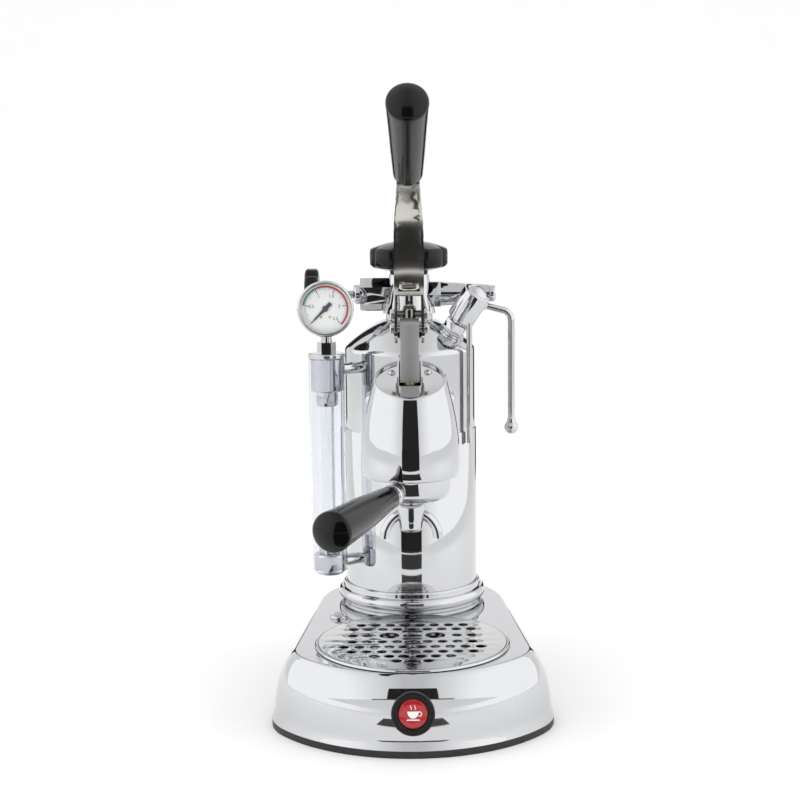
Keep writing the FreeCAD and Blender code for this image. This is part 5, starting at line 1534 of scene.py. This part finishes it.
@dataclass
class Studio:
    """A plain pale room with soft light, and the camera."""

    camera: Point3 = (0.0, -1.2, 0.3994)
    pitch: float = 81.4
    yaw: float = 0.35
    roll: float = -0.6
    lens: float = 75.15

    def build(self) -> None:
        """Builds the floor, the lights, the dark cards and the camera."""
        self.floor()
        self.room()
        self.light("left", (-1.25, -0.45, 0.8), 1.0, 4)
        self.light("right", (1.3, -0.35, 0.8), 0.9, 3)
        self.light("above", (0.0, 0.6, 1.9), 1.2, 4)
        self.card("far_card", [(-0.60, -1.75, 0.17), (0.60, -1.75, 0.17), (0.60, -1.75, 1.0),
                               (-0.60, -1.75, 1.0)], DARK_CARD)
        self.card("low_card", [(-0.25, -0.75, 0.062), (0.25, -0.75, 0.062), (0.25, -0.75, 0.19),
                               (-0.25, -0.75, 0.19)], DARK_CARD)
        self.card("step_card", [(-0.08, -0.22, 0.062), (0.08, -0.22, 0.062), (0.22, -0.66, 0.062),
                                (-0.22, -0.66, 0.062)], DARK_CARD)
        self.card("floor_card", [(-0.1, -0.29, 0.002), (0.1, -0.29, 0.002), (0.2, -0.6, 0.002),
                                 (-0.2, -0.6, 0.002)], DARK_CARD)
        self.card("pale_card", [(-0.3, -0.22, 0.06), (0.3, -0.22, 0.06), (0.3, -0.76, 0.06),
                                (-0.3, -0.76, 0.06)], PALE_CARD)
        for name, side in (("left_flag", -1), ("right_flag", 1)):
            self.card(name, [(0.32 * side, 1.15, 0.0), (0.62 * side, 1.15, 0.0), (0.62 * side, 1.15, 1.5),
                             (0.32 * side, 1.15, 1.5)], DARK_CARD)
        shot = bpy.data.cameras.new("camera")
        shot.lens = self.lens
        shot.sensor_width = 36.0
        shot.clip_start = 0.05
        view = bpy.data.objects.new("camera", shot)
        view.rotation_euler = (Matrix.Rotation(math.radians(self.yaw), 3, "Z")
                               @ Matrix.Rotation(math.radians(self.pitch), 3, "X")
                               @ Matrix.Rotation(math.radians(self.roll), 3, "Z")).to_euler()
        view.location = self.camera
        bpy.context.scene.collection.objects.link(view)
        bpy.context.scene.camera = view

    def floor(self) -> None:
        """Builds the floor, which sweeps up behind."""
        line = [(-3.0, 0.0), (1.6, 0.0)] + [
            (1.6 + 1.2 * math.sin(math.radians(a)), 1.2 - 1.2 * math.cos(math.radians(a)))
            for a in range(6, 91, 6)] + [(2.8, 4.0)]
        corners = []
        for y, z in line:
            corners += [Vector((-4 / MM, y / MM, z / MM)), Vector((4 / MM, y / MM, z / MM))]
        faces = [(2 * i, 2 * i + 1, 2 * i + 3, 2 * i + 2) for i in range(len(line) - 1)]
        sweep = to_object("floor", Shape().add(corners, faces))
        sweep.data.shade_smooth()
        sweep.data.materials.append(PAPER.make())

    def light(self, name: str, at: Point3, size: float, power: float) -> None:
        """Adds one large soft light, turned to the machine.

        Args:
            name: its name.
            at: its position in metres.
            size: the side of its square.
            power: its power in watts.
        """
        lamp = bpy.data.lights.new(name, "AREA")
        lamp.shape = "SQUARE"
        lamp.size = size
        lamp.energy = power
        held = bpy.data.objects.new(name, lamp)
        held.location = at
        held.rotation_euler = (Vector((0, 0, 0.2)) - Vector(at)).to_track_quat("-Z", "Y").to_euler()
        held.visible_glossy = False
        bpy.context.scene.collection.objects.link(held)

    def room(self) -> None:
        """Makes the light of the room: bright at the sides, softer in front and behind."""
        world = bpy.data.worlds.new("room")
        world.use_nodes = True
        nodes, links = world.node_tree.nodes, world.node_tree.links
        place = nodes.new("ShaderNodeTexCoord")
        parts = nodes.new("ShaderNodeSeparateXYZ")
        side = nodes.new("ShaderNodeMath")
        side.operation = "ABSOLUTE"
        level = nodes.new("ShaderNodeMapRange")
        for name, value in (("From Min", 0.12), ("From Max", 0.75), ("To Min", 0.78), ("To Max", 1.4)):
            level.inputs[name].default_value = value
        links.new(place.outputs["Generated"], parts.inputs["Vector"])
        links.new(parts.outputs["X"], side.inputs[0])
        links.new(side.outputs["Value"], level.inputs["Value"])
        background = nodes["Background"]
        background.inputs["Color"].default_value = (1.0, 1.0, 1.0, 1.0)
        links.new(level.outputs["Result"], background.inputs["Strength"])
        bpy.context.scene.world = world
        bpy.context.scene.view_settings.view_transform = "Standard"

    def card(self, name: str, corners: list[Point3], finish: Finish) -> None:
        """Adds a card that only reflections show.

        Args:
            name: its name.
            corners: its four corners in metres.
            finish: its surface.
        """
        sheet = to_object(name, Shape().add([Vector(corner) / MM for corner in corners], [(0, 1, 2, 3)]))
        sheet.data.materials.append(finish.make())
        sheet.visible_camera = False
        sheet.visible_diffuse = False
        sheet.visible_shadow = False
        sheet.visible_transmission = False


def main() -> None:
    """Builds the whole picture, part by part."""
    base = Base()
    base.build()
    base.dress()
    DripTray().build()
    Boiler().build()
    FillerCap().build()
    valve = SteamValve()
    valve.build()
    valve.dress()
    SafetyValve().build()
    SightGlass().build()
    gauge = Gauge()
    gauge.build()
    gauge.dress()
    Group().build()
    lever = Lever()
    lever.build()
    lever.dress()
    portafilter = Portafilter()
    portafilter.build()
    portafilter.dress()
    Studio().build()


if __name__ == "__main__":
    main()
